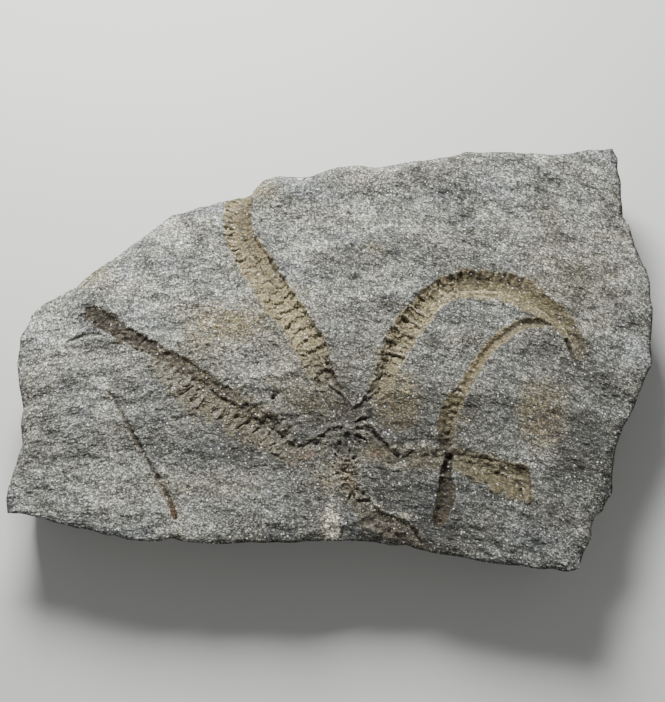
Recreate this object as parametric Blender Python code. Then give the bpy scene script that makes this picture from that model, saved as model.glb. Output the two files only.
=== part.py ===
"""Brittle star fossil: the natural mould of a brittle star's arms in a broken slab of sandstone.

The slab lies on its flat cleaved back, with the mould facing up. X runs along the slab, Y across it and Z
up. Places on the face are in millimetres from the brittle star's mouth, and the finished slab is then moved
so that the middle of its footprint's box is at the origin.
"""

from dataclasses import dataclass
from enum import IntEnum

import bpy
import numpy as np

MM = 0.001

# Driving dimensions, in millimetres.
THICKNESS = 22.0  # from the cleaved back to the level of the face
SAW_DEPTH = 3.0  # how far the raw block runs on below the back before it is cut flat
CHIP_SIZE, CHIP_DEPTH = 3.5, 0.35  # small breaks along the rim
SWELL_SIZE, SWELL_HEIGHT = 34.0, 0.55  # broad swells of the face
FLAKE_SIZE, FLAKE_HEIGHT = (11.0, 5.0), 0.4  # flat flakes that the face split into
FLAKE_LEAN, FLAKE_BEND = 0.3, 3.0  # how far the flakes lean across the slab, and how much they bend
SIDE_UNDERCUT, BACK_UNDERCUT, FRONT_UNDERCUT = 4.0, 3.5, 10.0  # how far in the sides run on their way down
FACET_SIZE, FACET_DEPTH = 13.0, 2.2  # flat breaks of the sides
BED_SIZE, BED_DEPTH = (9.0, 2.6), 0.6  # thin beds that stand out along the sides
BEAD_ROW, BEAD_RADIUS = 0.45, 0.6  # share of the arm's half width where the beads sit, and their size
BLOCK_SIDE = 300.0  # a block that is larger than the slab, to cut its back flat

# How finely the raw block is built, and how far it is thinned.
FACE_COLUMNS, FACE_ROWS = 330, 170
SIDE_LEVELS = (0.06, 0.14, 0.25, 0.38, 0.52, 0.66, 0.8, 0.9, 1.0)  # shares of the way down the sides
PLATES = 80  # plates whose heights differ before they repeat, more than any arm has
PATH_STEP = 1.0  # millimetres between the places that a hollow's path is read at
LATTICE = 64  # noise repeats after this many lattice squares, which is far beyond the slab
RIM_WINDOW = 9  # rim points each way that the rim's direction is taken from
RIM_STRIDE = 4  # every so many rim points are enough to measure how far in a place is
KEPT_SHARE = 0.073  # share of the raw triangles that is kept

# The broken outline of the face, in four sides that meet at its corners.
BACK_SIDE = (
    (-80, 30), (-76, 33.8), (-69, 39), (-64, 43.5), (-57.5, 48), (-51, 53.3), (-45, 57.5), (-39.5, 59),
    (-35, 60.8), (-30.5, 62.4), (-26.5, 62.8), (-24.5, 64.6), (-22, 67), (-18.5, 68.1), (-14, 68),
    (-8.5, 68.8), (-2.5, 70.7), (3, 71.4), (7.5, 71.1), (15.5, 72.4), (26.5, 74.1), (31, 75.2),
    (40, 75.1), (47.5, 74.8), (54, 74.1), (58.5, 74.3), (62.5, 75.6), (69, 76.2),
)
LEFT_SIDE = (
    (-83, -20.8), (-83.4, -17.5), (-82.8, -14), (-81.4, -8.6), (-80.7, -3.3), (-81.2, 1), (-80.8, 5.5),
    (-82, 11), (-83.1, 17.3), (-82.5, 24), (-80, 30),
)
FRONT_SIDE = (
    (-83, -20.8), (-79.4, -20.8), (-73, -22.6), (-61, -25.8), (-54.5, -27.2), (-48.5, -27.7),
    (-43, -27.2), (-40, -28.2), (-34, -28.4), (-23, -28), (-12.5, -28), (-7, -27.7), (-4.3, -27.3),
    (4, -27.7), (10.5, -28.9), (14, -28.7), (17, -29.7), (30.5, -32.1), (37.5, -33.6), (44.5, -34.3),
    (52.5, -35), (55.2, -34.8),
)
RIGHT_SIDE = (
    (55.2, -34.8), (56.3, -31), (58.7, -26.7), (60, -21.3), (62, -19.8), (64.3, -16), (64.8, -11),
    (65.6, -5.6), (68, 1), (71, 6.4), (74.8, 14.2), (76.2, 17.5), (76, 23), (76.7, 28.7), (76.8, 39),
    (74.4, 45.6), (72.7, 51.7), (72.4, 55), (70.7, 57), (70.4, 62), (70.5, 68), (70, 73), (69, 76.2),
)

# Where the rim is rounded off: place, how far that reaches, the rounding's width and its drop at the rim.
RIM_DEFAULT = (1.6, 0.7)
WORN_RIMS = (
    (-62, 44, 26, 8.0, 2.6),
    (-83, 12, 16, 5.0, 1.8),
    (-30, 62, 9, 5.0, 2.2),
    (10, 72, 30, 4.0, 1.3),
    (63, -20, 13, 7.0, 4.5),
    (74, 20, 14, 4.0, 1.6),
    (-4, -26, 5, 5.5, 2.2),
    (11, -29, 9, 5.0, 2.4),
)


class Seed(IntEnum):
    """What each random pattern starts from."""

    SWELL = 1
    FLAKE = 2
    CHIP_X = 3
    CHIP_Y = 4
    FACET = 5
    BED = 6
    BEND = 7


@dataclass(frozen=True)
class Hollow:
    """One hollow of the mould, walked outwards from the mouth.

    A station is its place, its width to the left and to the right, and its depth. A wall of 1 slopes evenly
    up to the rim, and a higher one leaves a flatter floor and a steeper side. Plates are the overlapping
    steps that the arm's shields left, and beads are the two rows of knobs of the slender arm.
    """

    stations: tuple
    left_wall: float
    right_wall: float
    plate_pitch: float = 3.0
    plate_height: float = 0.0
    plate_slant: float = 0.0
    bead_pitch: float = 0.0
    bead_height: float = 0.0
    seed: int = 1


ARM_TO_BACK = Hollow(
    stations=(
        (-0.4, 2, 0.8, 0.8, 0.8), (-2.2, 7, 1.6, 1.4, 1.5), (-4.4, 11.2, 2.2, 1.8, 2.2),
        (-6.8, 15, 2.8, 2.6, 2.4), (-8.6, 20, 3.6, 3.5, 2.1), (-11.5, 25, 4, 4, 2),
        (-14.7, 30, 4.1, 4, 2), (-18.1, 35, 4.2, 4.2, 2), (-21.3, 40, 4.2, 4.2, 2),
        (-24.4, 45, 4.1, 4, 2), (-27.1, 50, 3.9, 3.9, 1.9), (-28.2, 55, 3.8, 3.8, 1.8),
        (-28.2, 60, 3.6, 3.6, 1.7), (-27.6, 66, 3.5, 3.5, 1.6),
    ),
    left_wall=2.2, right_wall=3.6, plate_pitch=2.7, plate_height=0.42, plate_slant=-0.25, seed=11,
)
ARM_TO_LEFT = Hollow(
    stations=(
        (-2.6, 0.2, 1.6, 0.6, 1), (-5, -0.6, 2.4, 0.7, 1.8), (-9, -3.2, 4, 0.8, 2.2),
        (-13, -4.4, 4.8, 1.2, 2.4),
        (-15.2, -2.7, 4.8, 2.2, 2.5), (-18, -0.6, 5.2, 3.2, 2.2), (-22, 1.9, 5.8, 3.8, 2.1),
        (-26, 4.7, 6.4, 3.8, 2), (-30, 7.6, 7, 3.4, 2), (-35, 10.7, 7.2, 3, 1.9),
        (-40, 13.9, 6.6, 2.8, 1.7), (-45, 17.5, 4.6, 2.4, 1.7), (-50, 21.3, 1.9, 1.9, 1.8),
        (-55, 24.2, 2.2, 2.2, 2), (-60, 27.3, 2.2, 2.2, 2), (-64.3, 29.7, 2.2, 2.2, 1.8),
    ),
    left_wall=1.25, right_wall=2.6, plate_pitch=3.3, plate_height=0.4, plate_slant=0.55, seed=12,
)
HOOKED_ARM = Hollow(
    stations=(
        (1, 2.6, 0.8, 0.9, 1.2), (3.1, 5.4, 1.2, 1.5, 2), (5.6, 8.3, 1.6, 1.9, 2.3),
        (8, 11.6, 2.1, 2.3, 2.2), (9.8, 16, 2.8, 3, 2), (12.2, 21.5, 3.7, 3.7, 2.1),
        (14.2, 25.2, 3.7, 3.7, 2.1), (16.5, 28.4, 3.6, 3.6, 2.1), (19, 31.8, 3.5, 3.5, 2),
        (21.6, 34.8, 3.6, 3.4, 2), (25.3, 36.9, 3.4, 3.4, 2), (29.6, 38, 3.8, 3.8, 2),
        (34.7, 38, 4, 4, 2), (39, 37.6, 3.7, 3.7, 2), (43.5, 36, 3.9, 3.9, 2),
        (47.8, 33.4, 3.5, 3.5, 1.9), (51.9, 30.2, 2.8, 2.8, 1.7), (55.2, 26.6, 2.5, 2.5, 1.4),
        (57.3, 22.4, 2.1, 2.1, 0.9),
        (58.2, 19.2, 1.4, 1.4, 0.2),
    ),
    left_wall=3.2, right_wall=2, plate_pitch=2.9, plate_height=0.42, plate_slant=0.35, seed=13,
)
SLENDER_ARM = Hollow(
    stations=(
        (24.1, -5, 1.4, 1.4, 1.3), (23.9, -1, 2.1, 2.1, 1.5), (24.8, 3, 2.3, 2.3, 1.5),
        (26, 5.8, 2.2, 2.2, 1.5), (27.3, 8.6, 1.9, 1.9, 1.4), (29.5, 12, 1.6, 1.6, 1.4),
        (31.8, 16, 1.4, 1.4, 1.4), (34, 19.4, 1.5, 1.5, 1.5), (36.5, 22.4, 1.5, 1.5, 1.6),
        (39.5, 24.8, 1.6, 1.6, 1.8), (42.6, 26.9, 1.6, 1.6, 2.1), (45.8, 27.8, 1.6, 1.6, 2.4),
        (48.8, 27.9, 1.3, 1.3, 2.3), (51.4, 27.3, 0.5, 0.5, 1.2),
    ),
    left_wall=4, right_wall=2, bead_pitch=1.7, bead_height=0.5,
)
SLENDER_ARM_END = Hollow(
    stations=(
        (24.9, -7, 0.8, 0.8, 2.4), (24.1, -9.5, 1.1, 1.1, 3.2), (23.8, -12, 1.4, 1.4, 2.6),
        (24, -15, 2.2, 2.2, 1.9), (23.7, -18, 2.3, 2.3, 1.8), (22.6, -21, 2.1, 2.1, 1.8),
        (21.8, -23.6, 1.4, 1.4, 1.2),
    ),
    left_wall=3, right_wall=2.4, plate_height=0.25, seed=14,
)
ARM_TO_RIGHT = Hollow(
    stations=(
        (2, 0, 0.5, 1.4, 0.9), (4.8, -0.2, 0.6, 2.6, 1.6), (7, -1.8, 0.8, 3.2, 2.2),
        (9.3, -4.4, 0.9, 3, 2.4),
        (11.2, -6.7, 0.9, 3.6, 2.5), (13.6, -7.1, 0.9, 3.6, 2.5), (16, -6.5, 1, 3.8, 2.2),
        (20, -7, 1.4, 3.8, 1.9), (24, -7.5, 2.2, 3.6, 1.6), (28, -7.7, 2.6, 3.6, 1.7),
        (32.4, -9.3, 3.4, 4.2, 1.9), (37.2, -11.3, 3.6, 4.3, 2), (41.3, -12.9, 4, 4.3, 2),
        (43.8, -14, 3.2, 3.2, 1.8),
    ),
    left_wall=2.8, right_wall=1.5, plate_pitch=2.3, plate_height=0.35, plate_slant=0.2, seed=15,
)
ARM_TO_FRONT = Hollow(
    stations=(
        (-0.4, -2.5, 1.6, 1.6, 1.2), (-0.4, -6.5, 2.2, 2.2, 1.8), (-0.3, -10, 1.4, 2.2, 1.2),
        (0.2, -13, 1.4, 2, 1.1), (1.2, -16, 1.8, 2.2, 2), (2.8, -19.2, 2.4, 3.2, 2.1),
        (5.6, -22, 2, 5, 2.3), (9.6, -23.8, 1.5, 5.4, 2.5), (13.2, -25, 1.4, 5.6, 2.4),
        (17, -28.4, 1.4, 5, 2.2), (21, -33, 1.4, 5, 2),
    ),
    left_wall=3.4, right_wall=1.3, plate_height=0.3, seed=16,
)
STEM_GROOVE = Hollow(
    stations=(
        (-60, 10.3, 0.5, 0.5, 0.5), (-57.5, 6.8, 0.6, 0.6, 0.8), (-53.9, 0, 0.6, 0.6, 0.9),
        (-50, -6.6, 0.6, 0.6, 0.9), (-46.2, -13.2, 0.7, 0.7, 0.9), (-43.2, -18.8, 0.9, 0.9, 1.1),
        (-42.1, -22.2, 0.8, 0.8, 1.5),
    ),
    left_wall=2, right_wall=2,
)
TAIL_SLOT = Hollow(
    stations=((54.9, 23.4, 0.7, 0.7, 1.4), (55.8, 20.5, 0.6, 0.6, 1.5), (57.2, 17.4, 0.3, 0.3, 0.5)),
    left_wall=2, right_wall=2,
)
NOTCH = Hollow(
    stations=((-70.3, 22.6, 0.5, 0.5, 0.4), (-65.2, 24.7, 0.7, 0.7, 0.7), (-62, 24.8, 0.5, 0.5, 0.5)),
    left_wall=1.5, right_wall=1.5,
)
HOLLOWS = (
    ARM_TO_BACK, ARM_TO_LEFT, HOOKED_ARM, SLENDER_ARM, SLENDER_ARM_END, ARM_TO_RIGHT, ARM_TO_FRONT,
    STEM_GROOVE, TAIL_SLOT, NOTCH,
)

# Small bumps and pits of the face: place, radius, and height, which is negative for a pit.
SPOTS = (
    (-18.7, 8.3, 0.8, -1.1), (44, 12.6, 1.3, 0.6), (-26.5, 5.6, 1.4, 0.9), (-21.8, 3.2, 1.3, 0.9),
    (12, -4.9, 1.3, 0.9), (15, -4.6, 1.3, 0.9), (18.2, -4.4, 1.1, 0.8), (3.6, 1.3, 0.9, 0.6),
    (3.4, -0.8, 0.9, 0.5), (-2.2, -11.4, 0.8, -0.8), (1.1, -11.4, 0.8, -0.8), (12.6, -10.6, 1.0, -0.5),
    (42.6, -11, 1.8, -0.7),
)


def lumps(x, y, size, seed, eased=True):
    """Noise from -1 to 1: random heights on a lattice of this size, joined by eased or by even slopes."""
    lattice = np.random.default_rng(seed).uniform(-1, 1, (LATTICE, LATTICE))
    across, along = np.broadcast_to(size, 2)
    column, row = np.floor(x / across).astype(int), np.floor(y / along).astype(int)
    right, up = x / across - column, y / along - row
    if eased:
        right, up = right * right * (3 - 2 * right), up * up * (3 - 2 * up)
    column, row = column % LATTICE, row % LATTICE
    next_column, next_row = (column + 1) % LATTICE, (row + 1) % LATTICE
    low = lattice[column, row] * (1 - right) + lattice[next_column, row] * right
    high = lattice[column, next_row] * (1 - right) + lattice[next_column, next_row] * right
    return low * (1 - up) + high * up


def flakes(x, y):
    """Heights of the flakes: flat runs on a leaning lattice, bent a little so that no two look alike."""
    bend = FLAKE_BEND * lumps(x, y, FLAKE_SIZE[0], Seed.BEND)
    across, along = x + FLAKE_LEAN * y + bend, y - FLAKE_LEAN * x + bend
    return FLAKE_HEIGHT * lumps(across, along, FLAKE_SIZE, Seed.FLAKE, eased=False)


def smooth_path(stations, step):
    """Rows about a step apart on a smooth curve through the stations, with every column carried along."""
    knots = np.array(stations, float)
    chord = np.r_[0, np.cumsum(np.hypot(*np.diff(knots[:, :2], axis=0).T))]
    slope = np.gradient(knots, chord, axis=0)
    at = np.linspace(0, chord[-1], int(chord[-1] / step) + 2)
    start = np.clip(np.searchsorted(chord, at, side="right") - 1, 0, len(chord) - 2)
    span = (chord[start + 1] - chord[start])[:, None]
    t = (at[:, None] - chord[start][:, None]) / span
    ends = knots[start] * (1 + 2 * t) * (1 - t) ** 2 + knots[start + 1] * t * t * (3 - 2 * t)
    return ends + slope[start] * span * t * (1 - t) ** 2 + slope[start + 1] * span * t * t * (t - 1)


def nearest_on_path(path, x, y):
    """For each point: how far along the path its nearest place is, its distance from it, which is positive
    to the path's left, and the path's own columns there."""
    run = np.diff(path[:, :2], axis=0)
    length = np.hypot(run[:, 0], run[:, 1])
    east, north = x[:, None] - path[:-1, 0], y[:, None] - path[:-1, 1]
    t = np.clip((east * run[:, 0] + north * run[:, 1]) / length**2, 0, 1)
    gap = np.hypot(east - t * run[:, 0], north - t * run[:, 1])
    best = gap.argmin(axis=1)
    row = np.arange(len(x))
    t = t[row, best]
    side = np.sign(run[best, 0] * north[row, best] - run[best, 1] * east[row, best])
    along = np.r_[0, np.cumsum(length)][best] + t * length[best]
    columns = path[best] + (path[best + 1] - path[best]) * t[:, None]
    return along, gap[row, best] * side, columns


def hollow_depth(hollow, x, y):
    """Depth of one hollow below the face: a trough, with the arm's plates or beads on its floor."""
    path = smooth_path(hollow.stations, PATH_STEP)
    along, offset, columns = nearest_on_path(path, x, y)
    left, right, depth = columns[:, 2], columns[:, 3], columns[:, 4]
    share = np.where(offset > 0, offset / left, -offset / right)
    wall = np.where(offset > 0, hollow.left_wall, hollow.right_wall)
    trough = depth * (1 - np.clip(share, 0, 1) ** wall)
    inside = np.clip((1 - share) * 3, 0, 1)
    phase = along / hollow.plate_pitch + hollow.plate_slant * np.abs(offset) + 0.5 * (offset > 0)
    lift = np.random.default_rng(hollow.seed).uniform(-0.5, 0.5, (PLATES, 2))
    plate = lift[np.floor(phase).astype(int) % PLATES, (offset > 0).astype(int)] + 0.5 - phase % 1
    trough -= hollow.plate_height * plate * inside
    if hollow.bead_height:
        turn = (along / hollow.bead_pitch % 1 - 0.5) * hollow.bead_pitch
        row = np.abs(offset) - BEAD_ROW * (left + right) / 2
        trough -= hollow.bead_height * np.exp(-(turn**2 + row**2) / BEAD_RADIUS**2) * inside
    return np.where(share < 1, trough, 0)


def face_height(x, y, rim_gap):
    """Height of the face above the back: stone with swells and flakes, less the mould and the worn rim."""
    height = THICKNESS + SWELL_HEIGHT * lumps(x, y, SWELL_SIZE, Seed.SWELL) + flakes(x, y)
    depth = np.zeros_like(x)
    for hollow in HOLLOWS:
        places = np.array(hollow.stations)
        reach = places[:, 2:4].max() + 1
        near = (x > places[:, 0].min() - reach) & (x < places[:, 0].max() + reach)
        near &= (y > places[:, 1].min() - reach) & (y < places[:, 1].max() + reach)
        depth[near] = np.maximum(depth[near], hollow_depth(hollow, x[near], y[near]))
    height -= depth
    for spot_x, spot_y, radius, lift in SPOTS:
        height += lift * np.exp(-((x - spot_x) ** 2 + (y - spot_y) ** 2) / radius**2)
    width, drop = (np.full_like(x, value) for value in RIM_DEFAULT)
    for worn_x, worn_y, reach, worn_width, worn_drop in WORN_RIMS:
        weight = np.exp(-((x - worn_x) ** 2 + (y - worn_y) ** 2) / reach**2)
        width += (worn_width - RIM_DEFAULT[0]) * weight
        drop += (worn_drop - RIM_DEFAULT[1]) * weight
    return height - drop * np.clip(1 - rim_gap / width, 0, 1) ** 2


def side_points(side, count):
    """Places an even step apart along one side of the outline, roughened by small chips."""
    corners = np.array(side, float)
    chord = np.r_[0, np.cumsum(np.hypot(*np.diff(corners, axis=0).T))]
    at = np.linspace(0, chord[-1], count)
    x, y = (np.interp(at, chord, corners[:, axis]) for axis in (0, 1))
    chips = [CHIP_DEPTH * lumps(x, y, CHIP_SIZE, seed) for seed in (Seed.CHIP_X, Seed.CHIP_Y)]
    return np.column_stack([x + chips[0], y + chips[1]])


def face_grid():
    """Plan places of the face: a Coons patch, which carries the four sides evenly across the middle."""
    front, back = side_points(FRONT_SIDE, FACE_COLUMNS), side_points(BACK_SIDE, FACE_COLUMNS)
    left, right = side_points(LEFT_SIDE, FACE_ROWS), side_points(RIGHT_SIDE, FACE_ROWS)
    a = np.linspace(0, 1, FACE_COLUMNS)[None, :, None]
    b = np.linspace(0, 1, FACE_ROWS)[:, None, None]
    sides = front[None] * (1 - b) + back[None] * b + left[:, None] * (1 - a) + right[:, None] * a
    corners = (front[0] * (1 - a) + front[-1] * a) * (1 - b) + (back[0] * (1 - a) + back[-1] * a) * b
    return sides - corners


def rim_order():
    """Numbers of the face's rim points, anticlockwise from the front left corner."""
    number = np.arange(FACE_ROWS * FACE_COLUMNS).reshape(FACE_ROWS, FACE_COLUMNS)
    return np.concatenate([number[0, :-1], number[:-1, -1], number[-1, :0:-1], number[:0:-1, 0]])


def drawn_in(x, y, share):
    """Plan places of the rim drawn in towards the slab's middle, this share of the way down its sides."""
    reach_x, middle_x = np.ptp(x) / 2, (x.max() + x.min()) / 2
    reach_y, middle_y = np.ptp(y) / 2, (y.max() + y.min()) / 2
    inset_y = np.where(y < middle_y, FRONT_UNDERCUT, BACK_UNDERCUT)
    run = share**0.8
    x = x - run * SIDE_UNDERCUT * (x - middle_x) / reach_x
    return np.column_stack([x, y - run * inset_y * (y - middle_y) / reach_y])


def side_levels(rim):
    """Points of the broken sides, ring under ring, from the rim down to the raw block's underside."""
    loop = np.concatenate([rim[-RIM_WINDOW:], rim, rim[:RIM_WINDOW]])
    tangent = loop[2 * RIM_WINDOW:, :2] - loop[:-2 * RIM_WINDOW, :2]
    inward = np.column_stack([-tangent[:, 1], tangent[:, 0]]) / np.hypot(*tangent.T)[:, None]
    x, y, top = rim.T
    rings = []
    for share in SIDE_LEVELS:
        z = top * (1 - share) - SAW_DEPTH * share
        facets = FACET_DEPTH * (lumps(x + z, y - z, FACET_SIZE, Seed.FACET, eased=False) + 0.4)
        beds = BED_DEPTH * lumps(x - y, z, BED_SIZE, Seed.BED, eased=False)
        inset = (facets + beds) * min(1, share * 4)
        rings.append(np.column_stack([drawn_in(x, y, share) + inset[:, None] * inward, z]))
    return rings


def raw_block():
    """The slab as one closed mesh: the modelled face, its broken sides and a plain underside."""
    plan = face_grid()
    x, y = plan[..., 0].ravel(), plan[..., 1].ravel()
    rim = rim_order()
    outline = np.column_stack([x[rim], y[rim]])
    gap = np.abs(nearest_on_path(np.vstack([outline, outline[:1]])[::RIM_STRIDE], x, y)[1])
    face = np.column_stack([x, y, face_height(x, y, gap)])
    points = np.round(np.concatenate([face] + side_levels(face[rim])), 3)
    number = np.arange(FACE_ROWS * FACE_COLUMNS).reshape(FACE_ROWS, FACE_COLUMNS)
    corners = (number[:-1, :-1], number[:-1, 1:], number[1:, 1:], number[1:, :-1])
    faces = np.stack([corner.ravel() for corner in corners], axis=1).tolist()
    upper = rim
    for level in range(len(SIDE_LEVELS)):
        lower = len(face) + level * len(rim) + np.arange(len(rim))
        faces += np.stack([lower, np.roll(lower, -1), np.roll(upper, -1), upper], axis=1).tolist()
        upper = lower
    faces.append(upper[::-1].tolist())
    mesh = bpy.data.meshes.new("fossil_slab")
    mesh.from_pydata((points * MM).tolist(), [], faces)
    return mesh


def sandstone():
    """Grey, fine-grained sandstone, broken and dry."""
    material = bpy.data.materials.new("grey_sandstone")
    material.use_nodes = True
    shader = material.node_tree.nodes["Principled BSDF"]
    shader.inputs["Base Color"].default_value = (0.23, 0.235, 0.235, 1)
    shader.inputs["Roughness"].default_value = 0.85
    shader.inputs["Metallic"].default_value = 0
    return material


def back_cutter():
    """A block whose top is the plane that the slab was cleaved along, kept out of the render."""
    side = BLOCK_SIDE * MM
    bpy.ops.mesh.primitive_cube_add(size=side, location=(0, 0, -side / 2))
    cutter = bpy.context.active_object
    cutter.name = "back_cutter"
    cutter.hide_render = True
    cutter.display_type = "WIRE"
    return cutter


def fossil_slab():
    """The slab, thinned where it is plain, cut flat on its back and centred over the origin."""
    slab = bpy.data.objects.new("fossil_slab", raw_block())
    bpy.context.scene.collection.objects.link(slab)
    slab.data.materials.append(sandstone())
    thin = slab.modifiers.new("thin_plain_stone", "DECIMATE")
    thin.ratio = KEPT_SHARE
    cleave = slab.modifiers.new("cleave_back", "BOOLEAN")
    cleave.operation = "DIFFERENCE"
    cleave.object = back_cutter()
    bpy.context.view_layer.update()
    finished = slab.evaluated_get(bpy.context.evaluated_depsgraph_get())
    corners = np.array([tuple(vertex.co) for vertex in finished.data.vertices])
    middle = (corners.min(axis=0) + corners.max(axis=0)) / 2
    slab.location = (-middle[0], -middle[1], 0)
    return slab


def clear_scene():
    """Removes the objects that the scene starts with."""
    for item in list(bpy.data.objects):
        bpy.data.objects.remove(item)


clear_scene()
fossil_slab()
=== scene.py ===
"""Looks of the brittle star fossil: the natural mould of a brittle star in a broken slab of grey sandstone.

The slab is one stone, so it is one closed surface. Its face is a function of two parameters on a grid,
lowered by the moulds of the arms; its sides are rings of broken stone under the face's rim; its back is flat.
Places on the face are in millimetres from the brittle star's mouth, as in the solid.
"""

from __future__ import annotations

import logging
import math
from dataclasses import dataclass, field
from enum import Enum, IntEnum

import bpy
import numpy as np
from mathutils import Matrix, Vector


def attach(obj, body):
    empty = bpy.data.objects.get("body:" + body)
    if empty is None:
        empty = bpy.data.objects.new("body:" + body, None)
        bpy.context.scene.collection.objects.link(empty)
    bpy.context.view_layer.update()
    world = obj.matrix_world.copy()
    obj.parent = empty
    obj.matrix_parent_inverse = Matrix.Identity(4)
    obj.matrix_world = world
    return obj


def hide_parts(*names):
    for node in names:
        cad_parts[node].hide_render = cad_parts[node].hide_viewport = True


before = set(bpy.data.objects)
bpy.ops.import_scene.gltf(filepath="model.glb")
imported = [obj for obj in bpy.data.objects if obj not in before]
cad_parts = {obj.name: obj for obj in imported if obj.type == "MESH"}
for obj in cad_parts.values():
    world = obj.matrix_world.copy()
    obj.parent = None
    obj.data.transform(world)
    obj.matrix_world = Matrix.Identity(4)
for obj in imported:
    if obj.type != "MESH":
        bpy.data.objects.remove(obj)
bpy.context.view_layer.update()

LOG = logging.getLogger("brittle_star_fossil")
MM = 0.001
NODE = "fossil_slab"

# The bedding crosses the face in curves, along which y + (BEDDING_LEAN + BEDDING_BEND * x) * x is even.
BEDDING_LEAN = 0.14
BEDDING_BEND = 0.00175

Array = np.ndarray
Station = tuple[float, ...]
Span = tuple[float, float]
Colour = tuple[float, float, float, float]
Stop = tuple[float, Colour]
Socket = bpy.types.NodeSocket
Outputs = bpy.types.bpy_prop_collection
Value = float | tuple[float, ...] | Socket
Inputs = tuple[Value, ...] | dict[str | int, Value]


class Seed(IntEnum):
    """What each random pattern starts from. The first seven are the solid's own."""

    SWELL = 1
    FLAKE = 2
    CHIP_X = 3
    CHIP_Y = 4
    FACET = 5
    BED = 6
    BEND = 7
    SPLIT = 21
    TEAR = 22
    GRIT = 23
    RIPPLE = 24
    EDGE = 25
    COVER = 26
    WOBBLE = 27
    CRUST = 28
    HACKLE = 29
    SHARD = 30
    HOLLOW = 31


# --- Noise ---

LATTICE = 64  # points along each side of the lattice, after which it repeats
LAYER_TURN = 0.35  # radians from one layer to the next
LAYER_HEIGHT = 0.6  # of the layer before


def lumps(x: Array, y: Array, size: float | Span, seed: int, eased: bool = True) -> Array:
    """Noise from -1 to 1: random heights on a square lattice, joined by eased or by even slopes.

    Args:
        x: Places across, in millimetres.
        y: Places along, in millimetres.
        size: Lattice spacing, one number or one for each direction.
        seed: What the random heights start from.
        eased: True for round lumps, False for flat runs with creases between them.

    Returns:
        One height for each place.
    """
    lattice = np.random.default_rng(seed).uniform(-1, 1, (LATTICE, LATTICE))
    across, along = np.broadcast_to(size, 2)
    column, row = np.floor(x / across).astype(int), np.floor(y / along).astype(int)
    right, up = x / across - column, y / along - row
    if eased:
        right, up = right * right * (3 - 2 * right), up * up * (3 - 2 * up)
    column, row = column % LATTICE, row % LATTICE
    next_column, next_row = (column + 1) % LATTICE, (row + 1) % LATTICE
    low = lattice[column, row] * (1 - right) + lattice[next_column, row] * right
    high = lattice[column, next_row] * (1 - right) + lattice[next_column, next_row] * right
    return low * (1 - up) + high * up


def layered(x: Array, y: Array, size: Span, seed: int, layers: int, eased: bool = True) -> Array:
    """Noise in layers, each half the size of the one before, lower and turned a little.

    Args:
        x: Places across, in millimetres.
        y: Places along, in millimetres.
        size: Lattice spacing of the first layer in each direction.
        seed: What the first layer starts from.
        layers: How many layers are added.
        eased: Passed on to each layer.

    Returns:
        The sum of the layers.
    """
    total = np.zeros_like(x)
    for layer in range(layers):
        turn = LAYER_TURN * layer
        across, along = x * math.cos(turn) - y * math.sin(turn), x * math.sin(turn) + y * math.cos(turn)
        spacing = (size[0] / 2**layer, size[1] / 2**layer)
        total += LAYER_HEIGHT**layer * lumps(across, along, spacing, seed + 100 * layer, eased)
    return total


@dataclass(frozen=True)
class Bumps:
    """A pattern of layered noise.

    Attributes:
        most: Height of its first layer.
        size: Spacing of its first layer in each direction, in millimetres.
        seed: What it starts from.
        layers: How many layers it has.
        eased: True for round lumps, False for flat runs with creases between them.
    """

    most: float
    size: Span
    seed: int
    layers: int = 1
    eased: bool = True

    def at(self, x: Array, y: Array, seed: int = 0) -> Array:
        """Height of the pattern at each place, with this seed added to its own."""
        return self.most * layered(x, y, self.size, self.seed + seed, self.layers, self.eased)


def smooth_step(value: Array, low: float, high: float) -> Array:
    """0 below low, 1 above high, and between them the eased slope 3 t^2 - 2 t^3."""
    share = np.clip((value - low) / (high - low), 0, 1)
    return share * share * (3 - 2 * share)


def window(along: Array, start: float, stop: float, fade: float) -> Array:
    """1 from start to stop, fading to 0 over this distance inside each end."""
    return smooth_step(along, start, start + fade) * (1 - smooth_step(along, stop - fade, stop))


# --- Paths across the face ---


def smooth_path(stations: tuple[Station, ...], step: float) -> Array:
    """A smooth curve through given stations: a cubic between each two, with shared slopes at each.

    Args:
        stations: Rows that start with x and y. Further columns are carried along.
        step: Distance between the rows that come back, in millimetres.

    Returns:
        Rows along the curve, with the stations' columns.
    """
    knots = np.array(stations, float)
    chord = np.r_[0, np.cumsum(np.hypot(*np.diff(knots[:, :2], axis=0).T))]
    slope = np.gradient(knots, chord, axis=0)
    at = np.linspace(0, chord[-1], int(chord[-1] / step) + 2)
    start = np.clip(np.searchsorted(chord, at, side="right") - 1, 0, len(chord) - 2)
    span = (chord[start + 1] - chord[start])[:, None]
    t = (at[:, None] - chord[start][:, None]) / span
    ends = knots[start] * (1 + 2 * t) * (1 - t) ** 2 + knots[start + 1] * t * t * (3 - 2 * t)
    return ends + slope[start] * span * t * (1 - t) ** 2 + slope[start + 1] * span * t * t * (t - 1)


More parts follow.
